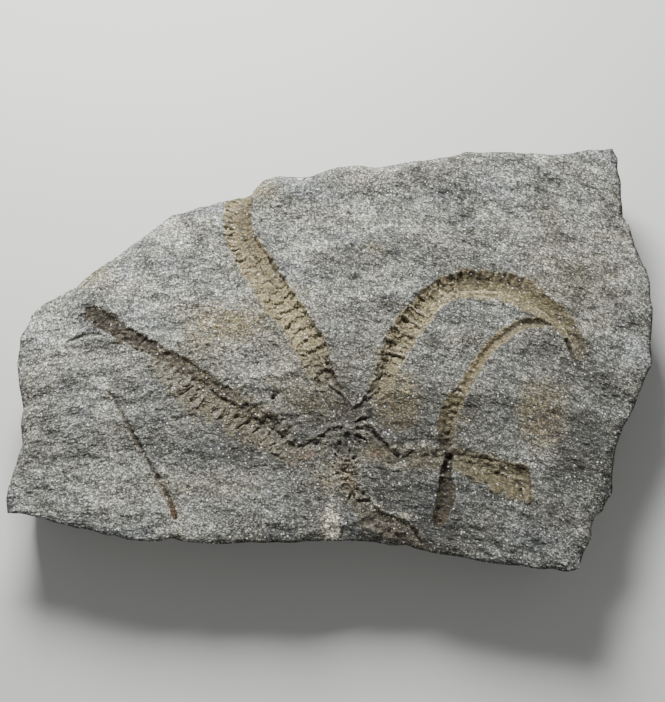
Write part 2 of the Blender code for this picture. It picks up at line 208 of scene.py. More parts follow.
def nearest_on_path(path: Array, x: Array, y: Array) -> tuple[Array, Array, Array]:
    """Where each place lies beside a path.

    Args:
        path: Rows that start with x and y.
        x: Places across.
        y: Places along.

    Returns:
        The distance along the path of its nearest place, the distance from it, positive to the path's left,
        and the path's columns there.
    """
    run = np.diff(path[:, :2], axis=0)
    length = np.hypot(run[:, 0], run[:, 1])
    east, north = x[:, None] - path[:-1, 0], y[:, None] - path[:-1, 1]
    t = np.clip((east * run[:, 0] + north * run[:, 1]) / length**2, 0, 1)
    gap = np.hypot(east - t * run[:, 0], north - t * run[:, 1])
    best = gap.argmin(axis=1)
    row = np.arange(len(x))
    t = t[row, best]
    side = np.sign(run[best, 0] * north[row, best] - run[best, 1] * east[row, best])
    along = np.r_[0, np.cumsum(length)][best] + t * length[best]
    columns = path[best] + (path[best + 1] - path[best]) * t[:, None]
    return along, gap[row, best] * side, columns


def in_box_around(places: Array, reach: float, x: Array, y: Array) -> Array:
    """Which places lie in the upright box around others.

    Args:
        places: Rows that start with x and y, which the box is laid around.
        reach: How far past them the box goes.
        x: Places across.
        y: Places along.

    Returns:
        True for each place in the box.
    """
    low, high = places[:, :2].min(axis=0) - reach, places[:, :2].max(axis=0) + reach
    return (x > low[0]) & (x < high[0]) & (y > low[1]) & (y < high[1])


# --- The mould ---

ROWS, MARKS = 16, 90  # random heights are drawn for this many rows, with this many marks in each
PATH_STEP = 0.7  # millimetres between the points that a hollow's path is followed by
TOOTH_RUN = 0.7  # share of a tooth's pitch that its long side takes
RIM_RUN = 0.22  # share of the half width over which marks fade in from the rim
HIGHEST = 0.35  # how far a mark may stand over the face, in millimetres
LINING_REACH = 1.08  # where the lining's edge lies, as a share of the half width
LINING_FADE = 0.26  # share over which it fades
LINING_BLEND = 0.45  # share of the half width over which the two sides' linings pass into each other
WALL_RUN = 0.5  # millimetres that the upright wall takes
ROW_FADE = 2.0  # millimetres over which a row of shields or slots fades in and out
SHIELD_SPREAD = 0.6  # how far the shields' drops differ, as a share
SHIELD_BACK = 0.8  # power of a shield's slope: below 1, it falls faster just behind the edge
SLOT_SIDES = (0.6, 1.4)  # a slot's width on its far side and on its near side, as shares of its own
SLOT_SPREAD = 0.3  # how far the slots' widths differ, as a share
SLOT_INNER, SLOT_OUTER = (-0.12, 0.08), (-0.08, 0.1)  # where its ends fade, as shares of the half width
MARK_STRAY = 0.16  # how far a slot or a knob stands off its place, as a share of the pitch
MARK_SPREAD = 0.5  # how far slots' depths and knobs' heights differ, as a share
BEAD_STRAY = 0.14  # how far a knob stands off its row, as a share of the half width
BEAD_FADES = (2, 10)  # millimetres over which a row of knobs fades in and fades out
LINE_GAPS = (-0.8, 0.0)  # a line has gaps where its noise is below the first, and is whole above the second
LINE_FADE = 3.0  # millimetres over which a line fades in and out

# Patterns of the hollows. These seeds are added to the hollow's own.
SHIELD_EDGE = Bumps(1.0, (1.7, 1.2), 1, 3)
SHIELD_ROW = Bumps(0.3, (1.3, 1.3), 2, 2)
SLOT_EDGE = Bumps(0.3, (1.3, 0.9), 3, 2)
BEAD_PLACE = Bumps(0.15, (0.9, 0.9), 4)
RIM_EDGE = Bumps(1.0, (2.2, 2.2), 5, 3)
WALL_EDGE = Bumps(0.3, (1.1, 1.1), 6)

# Patterns that all the hollows share.
LINE_PLACE = Bumps(0.07, (4.0, 4.0), Seed.WOBBLE, 2)
LINE_HEIGHT = Bumps(1.0, (3.0, 3.0), Seed.WOBBLE)
CRUST = Bumps(1.0, (1.6, 1.3), Seed.CRUST, 3)
CRUST_PITS = Bumps(0.5, (1.0, 0.8), Seed.TEAR, 2)
LINING_EDGE = Bumps(1.8, (1.5, 1.2), Seed.COVER, 3)


@dataclass
class Relief:
    """What is cut into the face at each place: a depth, and how much of each lining covers it."""

    depth: Array
    tan: Array
    brown: Array
    olive: Array

    @classmethod
    def none(cls, count: int) -> Relief:
        """A relief with nothing cut."""
        return cls(*np.zeros((4, count)))

    def deepen(self, near: Array, other: Relief) -> None:
        """Takes the deeper of two hollows, and the stronger lining.

        Args:
            near: True for the places that the other hollow has values for.
            other: What the other hollow cuts at those places.
        """
        for kept, cut in zip(self.layers(), other.layers()):
            kept[near] = np.maximum(kept[near], cut)

    def layers(self) -> tuple[Array, Array, Array, Array]:
        """The depth and the three linings."""
        return self.depth, self.tan, self.brown, self.olive


@dataclass(frozen=True)
class Shields:
    """Rows of overlapping shields along an arm, whose torn edges left steps on the mould's floor.

    Attributes:
        pitch: Length of a shield along the arm.
        row: Width of a row of shields.
        height: Drop at a shield's edge, which faces the mouth.
        torn: How far an edge strays along the arm.
        step: Most that a shield stands up or down from its neighbours.
        slant: Millimetres that an edge lies further out for each millimetre from the arm's middle.
        start: Where along the arm the shields start.
        stop: Where they stop.
    """

    pitch: float
    row: float
    height: float
    torn: float
    step: float = 0.1
    slant: float = 0.0
    start: float = 0.0
    stop: float = 200.0

    def lift(self, along: Array, offset: Array, seed: int) -> Array:
        """Height of the shields: a sawtooth along each row, whose teeth and rows are torn by noise.

        Args:
            along: Distance of each place along the arm.
            offset: Its distance from the arm's path, positive to the left.
            seed: What the random heights start from.

        Returns:
            One height for each place.
        """
        stray = self.torn * SHIELD_EDGE.at(along, offset, seed)
        row = np.floor((offset + SHIELD_ROW.at(along, offset, seed)) / self.row + 0.5).astype(int)
        table = np.random.default_rng(seed).uniform(-1, 1, (ROWS, MARKS, 3))
        place = (along + stray - self.slant * np.abs(offset)) / self.pitch + table[row % ROWS, 0, 0]
        shield = table[row % ROWS, np.floor(place).astype(int) % MARKS]
        drop = self.height * (1 + SHIELD_SPREAD * shield[:, 1]) * (0.5 - (place % 1) ** SHIELD_BACK)
        return (drop + self.step * shield[:, 2]) * window(along, self.start, self.stop, ROW_FADE)


@dataclass(frozen=True)
class Slots:
    """A row of short cross slots on one side of an arm, between its ribs.

    Attributes:
        side: 1 for the left of the way out from the mouth, -1 for the right.
        start: Where along the arm the row starts, in millimetres.
        stop: Where it stops.
        pitch: From one slot to the next.
        inner: Share of the half width where a slot starts.
        outer: Share of the half width where it ends.
        width: Half width of a slot.
        depth: Depth of a slot below the floor.
        slant: Millimetres along the arm that a slot moves for each millimetre outwards.
    """

    side: int
    start: float
    stop: float
    pitch: float
    inner: float
    outer: float
    width: float
    depth: float
    slant: float = 0.0

    def cut(self, along: Array, offset: Array, share: Array, seed: int) -> Array:
        """Depth of the slots: a notch at each pitch, steep on its far side and faded at both ends.

        Args:
            along: Distance of each place along the arm.
            offset: Its distance from the arm's path, positive to the left.
            share: That distance as a share of the half width, without its sign.
            seed: What the random places and sizes start from.

        Returns:
            One depth for each place.
        """
        table = np.random.default_rng(seed).uniform(-1, 1, (MARKS, 3))
        place = (along - self.slant * np.abs(offset) + SLOT_EDGE.at(along, offset, seed)) / self.pitch
        index = np.floor(place).astype(int) % MARKS
        from_middle = ((place % 1) - 0.5 - MARK_STRAY * table[index, 0]) * self.pitch
        width = self.width * (1 + SLOT_SPREAD * table[index, 1]) * np.where(from_middle > 0, *SLOT_SIDES)
        notch = np.exp(-((from_middle / width) ** 2))
        reach = smooth_step(share - self.inner, *SLOT_INNER)
        reach *= 1 - smooth_step(share - self.outer, *SLOT_OUTER)
        row = window(along, self.start - ROW_FADE / 2, self.stop + ROW_FADE / 2, ROW_FADE)
        row *= offset * self.side > 0
        return self.depth * (1 + MARK_SPREAD * table[index, 2]) * notch * reach * row


@dataclass(frozen=True)
class Line:
    """A ridge along an arm's floor, or a crease where its height is negative.

    Attributes:
        share: Place across the arm, as a share of the half width, positive to the left.
        height: Height of the ridge.
        width: Its half width.
        start: Where along the arm it starts, in millimetres.
        stop: Where it stops.
    """

    share: float
    height: float
    width: float
    start: float = 0.0
    stop: float = 200.0

    def lift(self, along: Array, offset: Array, half: Array) -> Array:
        """Height of the line: a round rib that wanders a little across the arm and breaks here and there.

        Args:
            along: Distance of each place along the arm.
            offset: Its distance from the arm's path, positive to the left.
            half: Half the arm's width there.

        Returns:
            One height for each place.
        """
        middle = (self.share + LINE_PLACE.at(along, along * 0)) * half
        broken = smooth_step(LINE_HEIGHT.at(along, along * 0 + 7), *LINE_GAPS)
        rib = np.exp(-(((offset - middle) / self.width) ** 2))
        return self.height * rib * broken * window(along, self.start, self.stop, LINE_FADE)


@dataclass(frozen=True)
class Beads:
    """A row of knobs along a slender arm.

    Attributes:
        pitch: From one knob to the next.
        height: Height of a knob.
        radius: Its half width.
        share: Place of the row across the arm, as a share of the half width, positive to the left.
        start: Where along the arm the row starts, in millimetres.
        stop: Where it has faded away.
    """

    pitch: float
    height: float
    radius: float
    share: float
    start: float = 0.0
    stop: float = 200.0

    def lift(self, along: Array, offset: Array, half: Array, seed: int) -> Array:
        """Height of the knobs: a bell at each pitch, each a little off its place and of its own height.

        Args:
            along: Distance of each place along the arm.
            offset: Its distance from the arm's path, positive to the left.
            half: Half the arm's width there.
            seed: What the random places and heights start from.

        Returns:
            One height for each place.
        """
        place = (along + BEAD_PLACE.at(along, offset, seed)) / self.pitch + 0.5 * (self.share > 0)
        table = np.random.default_rng(seed).uniform(-1, 1, (MARKS, 3))[np.floor(place).astype(int) % MARKS]
        turn = (place % 1 - 0.5 - MARK_STRAY * table[:, 0]) * self.pitch
        row = offset - (self.share + BEAD_STRAY * table[:, 2]) * half
        knob = (1 + MARK_SPREAD * table[:, 1]) * np.exp(-((turn**2 + row**2) / self.radius**2))
        fade_in, fade_out = BEAD_FADES
        fade = smooth_step(along, self.start, self.start + fade_in)
        return self.height * knob * fade * (1 - smooth_step(along, self.stop - fade_out, self.stop))


@dataclass(frozen=True)
class ArmMould:
    """One hollow of the mould, walked outwards from the mouth.

    Attributes:
        name: What the hollow is.
        stations: Rows of x, y, width to the left, width to the right, depth, tan lining and brown lining.
        left_wall: 1 for an even slope up to the rim on the left, more for a flatter floor and a steeper side.
        right_wall: The same on the right.
        valley: Where the deepest line lies across the arm, as a share of the half width.
        rough: Height of the crust on the floor.
        frayed: How far the rim strays, as a share of the half width.
        olive: How far its lining turns from tan to olive.
        tan_sides: How much of the tan lining lies on the left and on the right.
        brown_sides: The same of the brown lining.
        teeth: Pitch and reach of the teeth that the deepest line bends round.
        wall_x: Where an upright wall ends the hollow on its right, if one does.
        shields: Rows of shields along the arm.
        slots: Rows of cross slots.
        lines: Ridges and creases along the arm.
        beads: Rows of knobs.
        seed: What its random patterns start from.
    """

    name: str
    stations: tuple[Station, ...]
    left_wall: float
    right_wall: float
    valley: float = 0.0
    rough: float = 0.16
    frayed: float = 0.09
    olive: float = 0.3
    tan_sides: tuple[float, float] = (1.0, 1.0)
    brown_sides: tuple[float, float] = (1.0, 1.0)
    teeth: tuple[float, float] = (1.0, 0.0)
    wall_x: float = 200.0
    shields: tuple[Shields, ...] = ()
    slots: tuple[Slots, ...] = ()
    lines: tuple[Line, ...] = ()
    beads: tuple[Beads, ...] = ()
    seed: int = 40

    def near(self, x: Array, y: Array) -> Array:
        """True for each place in the box around this hollow."""
        places = np.array(self.stations)
        return in_box_around(places, places[:, 2:4].max() + 2, x, y)

    def laid(self, x: Array, y: Array) -> tuple[Array, Array, Array]:
        """Where each place lies in this hollow, whose deepest line bends round its teeth.

        Args:
            x: Places across, in millimetres from the mouth.
            y: Places along.

        Returns:
            Distance along the path, distance from it, and the stations' columns there.
        """
        along, offset, columns = nearest_on_path(smooth_path(self.stations, PATH_STEP), x, y)
        pitch, reach = self.teeth
        bend = (along / pitch) % 1
        tooth = np.minimum(bend / TOOTH_RUN, (1 - bend) / (1 - TOOTH_RUN)) - 0.5
        return along, offset + reach * tooth, columns

    def relief(self, x: Array, y: Array) -> Relief:
        """What this hollow cuts: a trough across its path, with the arm's marks on the floor.

        The depth at a share r of the way from the deepest line to the rim is depth * (1 - r ** wall).

        Args:
            x: Places across, in millimetres from the mouth.
            y: Places along.

        Returns:
            Depth and linings at each place.
        """
        along, offset, columns = self.laid(x, y)
        opened = 1 - smooth_step(x + WALL_EDGE.at(x, y, self.seed), self.wall_x, self.wall_x + WALL_RUN)
        left, right, depth, tan, brown = columns[:, 2:7].T
        edge = 1 + self.frayed * RIM_EDGE.at(along, offset, self.seed)
        share = np.where(offset > 0, offset / left, offset / right) / edge
        valley = self.valley
        rising = np.where(share > valley, (share - valley) / (1 - valley), (valley - share) / (1 + valley))
        wall = np.where(share > valley, self.left_wall, self.right_wall)
        inside = smooth_step(1 - np.abs(share), 0.0, RIM_RUN)
        trough = depth * (1 - np.clip(rising, 0, 1) ** wall)
        half = (left + right) / 2
        for shields in self.shields:
            trough -= shields.lift(along, offset, self.seed) * inside
        for line in self.lines:
            trough -= line.lift(along, offset, half) * inside
        for row, beads in enumerate(self.beads):
            trough -= beads.lift(along, offset, half, self.seed + row) * inside
        for row, slots in enumerate(self.slots):
            trough += slots.cut(along, offset, np.abs(share), self.seed + row)
        trough += self.rough * (CRUST.at(x, y) + np.abs(CRUST_PITS.at(x, y))) * inside
        trough = np.where(np.abs(share) < 1, np.maximum(trough, -HIGHEST), 0) * opened
        cover = LINING_REACH - np.abs(share) + self.frayed * LINING_EDGE.at(x, y)
        cover = smooth_step(cover, 0.0, LINING_FADE) * opened
        leftness = smooth_step(share, -LINING_BLEND, LINING_BLEND)
        tan, brown = (
            np.clip(lining * (right_most + (left_most - right_most) * leftness), 0, 1) * cover
            for lining, (left_most, right_most) in ((tan, self.tan_sides), (brown, self.brown_sides)))
        return Relief(trough, tan, brown, self.olive * cover)


ARM_TO_BACK = ArmMould(
    name="arm to the back edge",
    stations=(
        (-0.4, 2.4, 0.8, 0.8, 0.4, 0.05, 0.1), (-2.0, 6.8, 1.8, 1.5, 0.8, 0.1, 0.2),
        (-4.2, 11.0, 3.4, 2.1, 1.1, 0.2, 0.35), (-6.6, 15.2, 3.9, 2.7, 1.3, 0.5, 0.4),
        (-8.6, 20, 4.2, 3.6, 1.2, 0.85, 0.2), (-11.5, 25, 4.0, 4.0, 1.2, 0.95, 0.1),
        (-14.7, 30, 4.1, 4.0, 1.2, 1, 0.1), (-18.1, 35, 4.2, 4.2, 1.2, 1, 0.13),
        (-21.3, 40, 4.2, 4.2, 1.2, 1, 0.2), (-24.4, 45, 4.1, 4.0, 1.2, 1, 0.25),
        (-27.1, 50, 3.9, 3.9, 1.2, 1, 0.32), (-28.2, 55, 3.8, 3.8, 1.2, 1, 0.34),
        (-28.2, 60, 3.6, 3.6, 1.2, 1, 0.34), (-27.6, 66, 3.5, 3.5, 1.1, 1, 0.34),
    ),
    left_wall=2.4, right_wall=4.0, valley=-0.3, rough=0.1, olive=0.7, frayed=0.07, seed=40,
    brown_sides=(0.8, 1.7),
    shields=(
        Shields(3.1, 3.4, 0.6, 0.7, 0.14, 0.1, 10, 42), Shields(2.7, 3.6, 0.22, 0.5, 0.05, 0.2, 38, 56),
        Shields(2.7, 3.3, 0.06, 0.3, 0.02, 0.2, 52, 72),
    ),
    slots=(
        Slots(1, 46, 72, 2.7, 0.36, 0.92, 0.26, 0.8, 0.25), Slots(-1, 32, 66, 2.7, 0.6, 1.0, 0.4, 0.35, 0.35),
        Slots(-1, 10, 34, 3.3, 0.5, 1.0, 0.3, 0.35, 0.3),
    ),
    lines=(
        Line(-0.16, -0.35, 0.28, 38, 60), Line(0.05, 0.22, 0.6, 40, 72), Line(-0.86, -0.55, 0.36, 8, 74),
        Line(-0.45, 0.2, 0.4, 30, 70),
    ),
)
ARM_TO_LEFT = ArmMould(
    name="arm to the left",
    stations=(
        (-2.6, 0.2, 1.2, 0.5, 0.3, 0.05, 0.1), (-5, -0.6, 2.4, 0.6, 0.4, 0.1, 0.15),
        (-9, -3.2, 4, 0.8, 0.5, 0.15, 0.2), (-13, -4.4, 4.8, 1.6, 0.8, 0.3, 0.3),
        (-15.2, -2.7, 4.8, 2.8, 1.0, 0.35, 0.4), (-18, -0.6, 5.2, 3.8, 0.9, 0.35, 0.35),
        (-22, 1.9, 5.8, 4.2, 0.9, 0.35, 0.35), (-26, 4.7, 6.4, 4.2, 0.85, 0.35, 0.35),
        (-30, 7.6, 7.0, 3.8, 0.75, 0.35, 0.35), (-35, 10.7, 7.2, 3.4, 0.65, 0.35, 0.35),
        (-40, 13.9, 6.6, 3.0, 0.65, 0.35, 0.4), (-45, 17.5, 4.4, 2.6, 0.7, 0.3, 0.5),
        (-49, 20.6, 1.9, 2.0, 0.9, 0.3, 0.7),
    ),
    left_wall=1.0, right_wall=0.8, rough=0.14, frayed=0.14, olive=0.9, seed=60,
    tan_sides=(1.1, 0.6), brown_sides=(0.35, 0.8), teeth=(3.3, 1.4),
    shields=(Shields(3.0, 4.4, 0.42, 0.45, 0.08, 0.1, 12, 54),),
    slots=(Slots(1, 14, 50, 2.8, 0.25, 0.7, 0.34, 0.55, 0.45),),
)
LEFT_ARM_BAND = ArmMould(
    name="band and tip of the arm to the left",
    stations=(
        (-14.8, -0.6, 1.0, 1.0, 0.1, 0.1, 0.2), (-17, 1.2, 1.4, 1.3, 0.3, 0.2, 0.55),
        (-22, 4.2, 1.7, 1.6, 0.45, 0.2, 0.7), (-27, 7.2, 1.9, 1.8, 0.5, 0.2, 0.8),
        (-33, 11.2, 1.9, 1.9, 0.45, 0.3, 0.8), (-39, 15.2, 1.9, 1.9, 0.45, 0.3, 0.8),
        (-44, 18.2, 1.9, 1.9, 0.6, 0.3, 0.85), (-50, 21.3, 2.1, 2.1, 0.7, 0.3, 0.95),
        (-55, 24.2, 2.4, 2.4, 0.8, 0.3, 1), (-60, 27.3, 2.5, 2.5, 0.8, 0.3, 1),
        (-64.3, 29.7, 2.5, 2.5, 0.8, 0.3, 1),
    ),
    left_wall=1.8, right_wall=2.6, rough=0.18, frayed=0.13, olive=1.0, seed=70,
    shields=(Shields(2.2, 1.5, 0.3, 0.7, 0.16, 0.0, 3, 46), Shields(1.6, 1.3, 0.1, 0.5, 0.08, 0.0, 44, 70)),
    lines=(Line(-0.1, 0.25, 0.8, 34, 64), Line(0.8, -0.4, 0.35, 32, 64)),
)
HOOKED_ARM = ArmMould(
    name="hooked arm",
    stations=(
        (1, 2.6, 0.8, 0.9, 0.3, 0.05, 0.1), (3.1, 5.4, 1.2, 1.5, 0.5, 0.1, 0.2),
        (5.6, 8.3, 1.6, 1.9, 0.7, 0.2, 0.25), (8, 11.6, 2.1, 2.3, 1.1, 0.55, 0.35),
        (9.8, 16, 2.8, 3, 1.2, 0.85, 0.2), (12.2, 21.5, 3.7, 3.7, 1.2, 0.95, 0.15),
        (14.2, 25.2, 3.7, 3.7, 1.2, 1, 0.15), (16.5, 28.4, 3.6, 3.6, 1.2, 1, 0.15),
        (19, 31.8, 3.5, 3.5, 1.2, 1, 0.15), (21.6, 34.8, 3.6, 3.4, 1.2, 0.95, 0.15),
        (25.3, 36.9, 3.4, 3.4, 1.3, 0.95, 0.2), (29.6, 38, 3.8, 3.8, 1.4, 1, 0.33),
        (34.7, 38, 4, 4, 1.4, 1, 0.35), (39, 37.6, 3.7, 3.7, 1.4, 1, 0.35), (43.5, 36, 3.9, 3.9, 1.3, 1, 0.3),
        (47.8, 33.4, 3.5, 3.5, 1.3, 0.95, 0.2), (51.9, 30.2, 2.8, 2.8, 1.2, 0.9, 0.2),
        (55.2, 26.6, 2.5, 2.5, 1.0, 0.8, 0.3), (57.3, 22.4, 2.1, 2.1, 0.8, 0.6, 0.35),
        (58.2, 19.2, 1.4, 1.4, 0.2, 0.3, 0.2),
    ),
    left_wall=1.9, right_wall=1.6, valley=-0.1, rough=0.1, olive=0.8, seed=80,
    brown_sides=(2.2, 0.3),
    shields=(
        Shields(3.3, 3.8, 0.6, 0.8, 0.14, 0.1, 12, 47), Shields(2.3, 1.9, 0.18, 0.6, 0.1, 0.0, 14, 50),
        Shields(2.5, 4.0, 0.14, 0.25, 0.03, 0.1, 45, 64),
    ),
    slots=(
        Slots(1, 42, 62, 2.4, 0.34, 0.98, 0.45, 0.5, 0.0), Slots(1, 12, 44, 3.9, 0.3, 0.98, 0.45, 0.5, 0.1),
    ),
    lines=(Line(-0.42, 0.35, 0.4, 46, 84), Line(-0.2, -0.3, 0.3, 36, 84), Line(0.86, -0.12, 0.3, 40, 84)),
)
SLENDER_ARM = ArmMould(
    name="slender arm",
    stations=(
        (24.1, -5, 1.5, 1.5, 1.2, 0.5, 0.7), (23.9, -1, 2.1, 2.1, 1.1, 0.8, 0.4),
        (24.8, 3, 2.3, 2.3, 1.0, 0.95, 0.25), (26, 5.8, 2.2, 2.2, 0.9, 1, 0.2),
        (27.3, 8.6, 1.9, 1.9, 0.8, 1, 0.15), (29.5, 12, 1.6, 1.6, 0.65, 1, 0.15),
        (31.8, 16, 1.6, 1.6, 0.6, 1, 0.15), (34, 19.4, 1.6, 1.6, 0.65, 1, 0.2),
        (36.5, 22.4, 1.6, 1.6, 0.6, 1, 0.2), (39.5, 24.8, 1.7, 1.7, 0.7, 0.95, 0.25),
        (42.6, 26.9, 1.7, 1.7, 0.9, 0.8, 0.45), (45.8, 27.8, 1.6, 1.6, 1.1, 0.75, 0.5),
        (48.8, 27.9, 1.3, 1.3, 1.3, 0.75, 0.5), (51.4, 27.3, 0.5, 0.5, 0.9, 0.7, 0.5),
    ),
    left_wall=1.0, right_wall=1.6, valley=0.1, rough=0.1, olive=0.6, seed=100,
    brown_sides=(1.4, 0.9),
    beads=(
        Beads(1.9, 1.3, 0.58, -0.22, 2, 27), Beads(1.7, 0.35, 0.45, -0.8, 1, 30),
        Beads(1.8, 0.3, 0.5, 0.5, 2, 42),
    ),
    shields=(Shields(1.6, 1.2, 0.12, 0.3, 0.05, 0.0, 6, 40),),
)
SLENDER_ARM_END = ArmMould(
    name="slender arm's base",
    stations=(
        (24.9, -7, 1.1, 1.1, 1.5, 0.2, 1), (24.1, -9.5, 1.4, 1.4, 1.7, 0.3, 1),
        (23.8, -12, 1.7, 1.7, 1.5, 0.6, 0.9), (24, -15, 2.3, 2.3, 1.2, 0.7, 0.85),
        (23.5, -18, 2.4, 2.4, 1.1, 0.7, 0.85), (22.4, -21, 2.1, 2.1, 1.0, 0.7, 0.85),
        (21.6, -23.4, 1.3, 1.3, 0.7, 0.4, 0.85),
    ),
    left_wall=1.8, right_wall=2.2, rough=0.3, olive=0.3, seed=120,
    shields=(Shields(1.5, 1.3, 0.15, 0.3, 0.1, 0.0, 6, 18),),
)
ARM_TO_RIGHT = ArmMould(
    name="arm to the right",
    stations=(
        (2, 0, 0.5, 1.4, 0.4, 0.1, 0.2), (4.8, -0.2, 0.6, 2.6, 0.6, 0.15, 0.4),
        (7, -1.8, 0.8, 3.2, 0.7, 0.2, 0.4), (9.3, -4.4, 0.9, 3, 0.7, 0.25, 0.25),
        (11.2, -6.3, 1.3, 3.6, 0.3, 0.3, 0.1), (13.6, -6.5, 1.8, 3.8, 0.2, 0.35, 0.1),
        (16, -6.2, 2.0, 3.8, 0.2, 0.4, 0), (20, -6.8, 2.0, 3.8, 0.15, 0.45, 0),
        (24, -7.3, 2.4, 3.8, 0.3, 0.6, 0.05), (28, -7.7, 2.6, 3.8, 0.6, 0.8, 0.15),
        (32.4, -9.3, 3.2, 4.2, 0.8, 0.95, 0.2), (37.2, -11.3, 3.4, 4.5, 0.9, 1, 0.2),
        (41.3, -12.9, 3.7, 4.7, 0.9, 1, 0.2), (46.5, -15, 3.8, 4.7, 0.9, 1, 0.2),
    ),
    left_wall=1.7, right_wall=1.3, valley=0.1, rough=0.1, frayed=0.1, olive=1.0, wall_x=44.3, seed=140,
    brown_sides=(1.5, 0.8),
    shields=(Shields(2.3, 4.4, 0.1, 0.3, 0.03, 0.1, 14, 54),),
    lines=(Line(0.12, 0.35, 0.4, 28, 52), Line(0.4, -0.2, 0.4, 28, 54)),
)
ARM_TO_FRONT = ArmMould(
    name="arm to the front edge",
    stations=(
        (-0.4, -2.5, 1.6, 1.6, 0.4, 0.05, 0.1), (-0.4, -6.5, 2.2, 2.2, 0.5, 0.1, 0.15),
        (-0.3, -10, 1.4, 2.2, 0.4, 0.2, 0.1), (0.2, -13, 1.4, 2, 0.4, 0.2, 0.25),
        (1.2, -16, 1.8, 2.2, 0.7, 0.2, 0.4), (3.4, -18.6, 2.2, 3.2, 0.7, 0.25, 0.4),
        (6.3, -21.3, 1.6, 5, 0.8, 0.3, 0.4), (10.3, -23.1, 1.2, 5.6, 0.9, 0.3, 0.4),
        (13.9, -24.3, 1.1, 5.8, 1.0, 0.25, 0.4), (16.6, -26.9, 1.1, 5.0, 0.8, 0.25, 0.35),
        (19.2, -30.4, 0.9, 4, 0.3, 0.15, 0.15),
    ),
    left_wall=1.6, right_wall=0.9, valley=0.1, rough=0.14, olive=0.1, seed=160,
    shields=(Shields(6.0, 1.2, 0.15, 0.6, 0.14, 0.0, 18, 60),),
)
STEM_GROOVE = ArmMould(
    name="thin groove",
    stations=(
        (-60, 10.3, 0.5, 0.5, 0.4, 0.2, 0.4), (-57.5, 6.8, 0.7, 0.7, 0.6, 0.1, 0.5),
        (-53.9, 0, 0.7, 0.7, 0.7, 0.1, 0.5), (-50, -6.6, 0.7, 0.7, 0.6, 0.1, 0.5),
        (-46.2, -13.2, 0.8, 0.8, 0.7, 0.2, 0.55), (-43.2, -18.8, 0.9, 0.9, 0.9, 0.4, 0.7),
        (-42.1, -22.2, 0.8, 0.8, 1.3, 0.4, 0.8),
    ),
    left_wall=1.4, right_wall=1.4, rough=0.1, frayed=0.2, olive=0.8, seed=180,
)
TAIL_SLOT = ArmMould(
    name="slot beside the hooked arm's tail",
    stations=(
        (54.9, 23.4, 0.7, 0.7, 1.4, 0.4, 0.9), (55.8, 20.5, 0.6, 0.6, 1.5, 0.4, 0.9),
        (57.2, 17.4, 0.3, 0.3, 0.5, 0.4, 0.7),
    ),
    left_wall=2, right_wall=2, rough=0.05, seed=200,
)
NOTCH = ArmMould(
    name="shallow notch",
    stations=(
        (-70.3, 22.6, 0.5, 0.5, 0.4, 0, 0.3), (-65.2, 24.7, 0.7, 0.7, 0.7, 0, 0.4),
        (-62, 24.8, 0.5, 0.5, 0.5, 0, 0.4),
    ),
    left_wall=1.5, right_wall=1.5, rough=0.05, seed=220,
)
MOULDS = (
    ARM_TO_BACK, ARM_TO_LEFT, LEFT_ARM_BAND, HOOKED_ARM, SLENDER_ARM, SLENDER_ARM_END, ARM_TO_RIGHT,
    ARM_TO_FRONT, STEM_GROOVE, TAIL_SLOT, NOTCH,
)


# A small break across its path. Shares are of its drop, the rest is in millimetres.
LIP_HEIGHT, LIP_PLACE, LIP_WIDTH = 0.3, 0.5, 0.4  # the raised lip on the high side
APRON_SHARE, APRON_RUN = 0.35, 5  # the part that climbs back slower than the rest, and how many times slower
SCARP_ENDS = (-0.3, 0.5)  # where the ends fade, in from each of them
SCARP_MEAN, SCARP_LIMITS = 0.85, (0.15, 1.5)  # share of the drop along the break, and its limits
# The foot's brown is partly lining and partly painted shade under the break.
FOOT_BROWN = 0.6  # brown lining of the foot, for each millimetre of drop
# The lip's pale colour is partly paler fresh stone and partly a painted highlight.
LIP_PALE_AND_HIGHLIGHT, PALE_PLACE, PALE_WIDTH = 0.7, 0.4, 0.26  # the lip's pale stain
CRUMBLE_LEVEL = 0.4  # size of the creased noise at which crumbled ground is level with the face
KNOB_SHOULDER = 1.3  # power of a bump's bell, above 1 for squarer shoulders

SCARP_PLACE = Bumps(0.22, (1.4, 1.4), Seed.HACKLE, 3)
SCARP_HEIGHT = Bumps(0.55, (1.9, 1.9), Seed.EDGE, 2)
SHARDS = Bumps(1.0, (2.4, 1.9), Seed.SHARD, 3, eased=False)


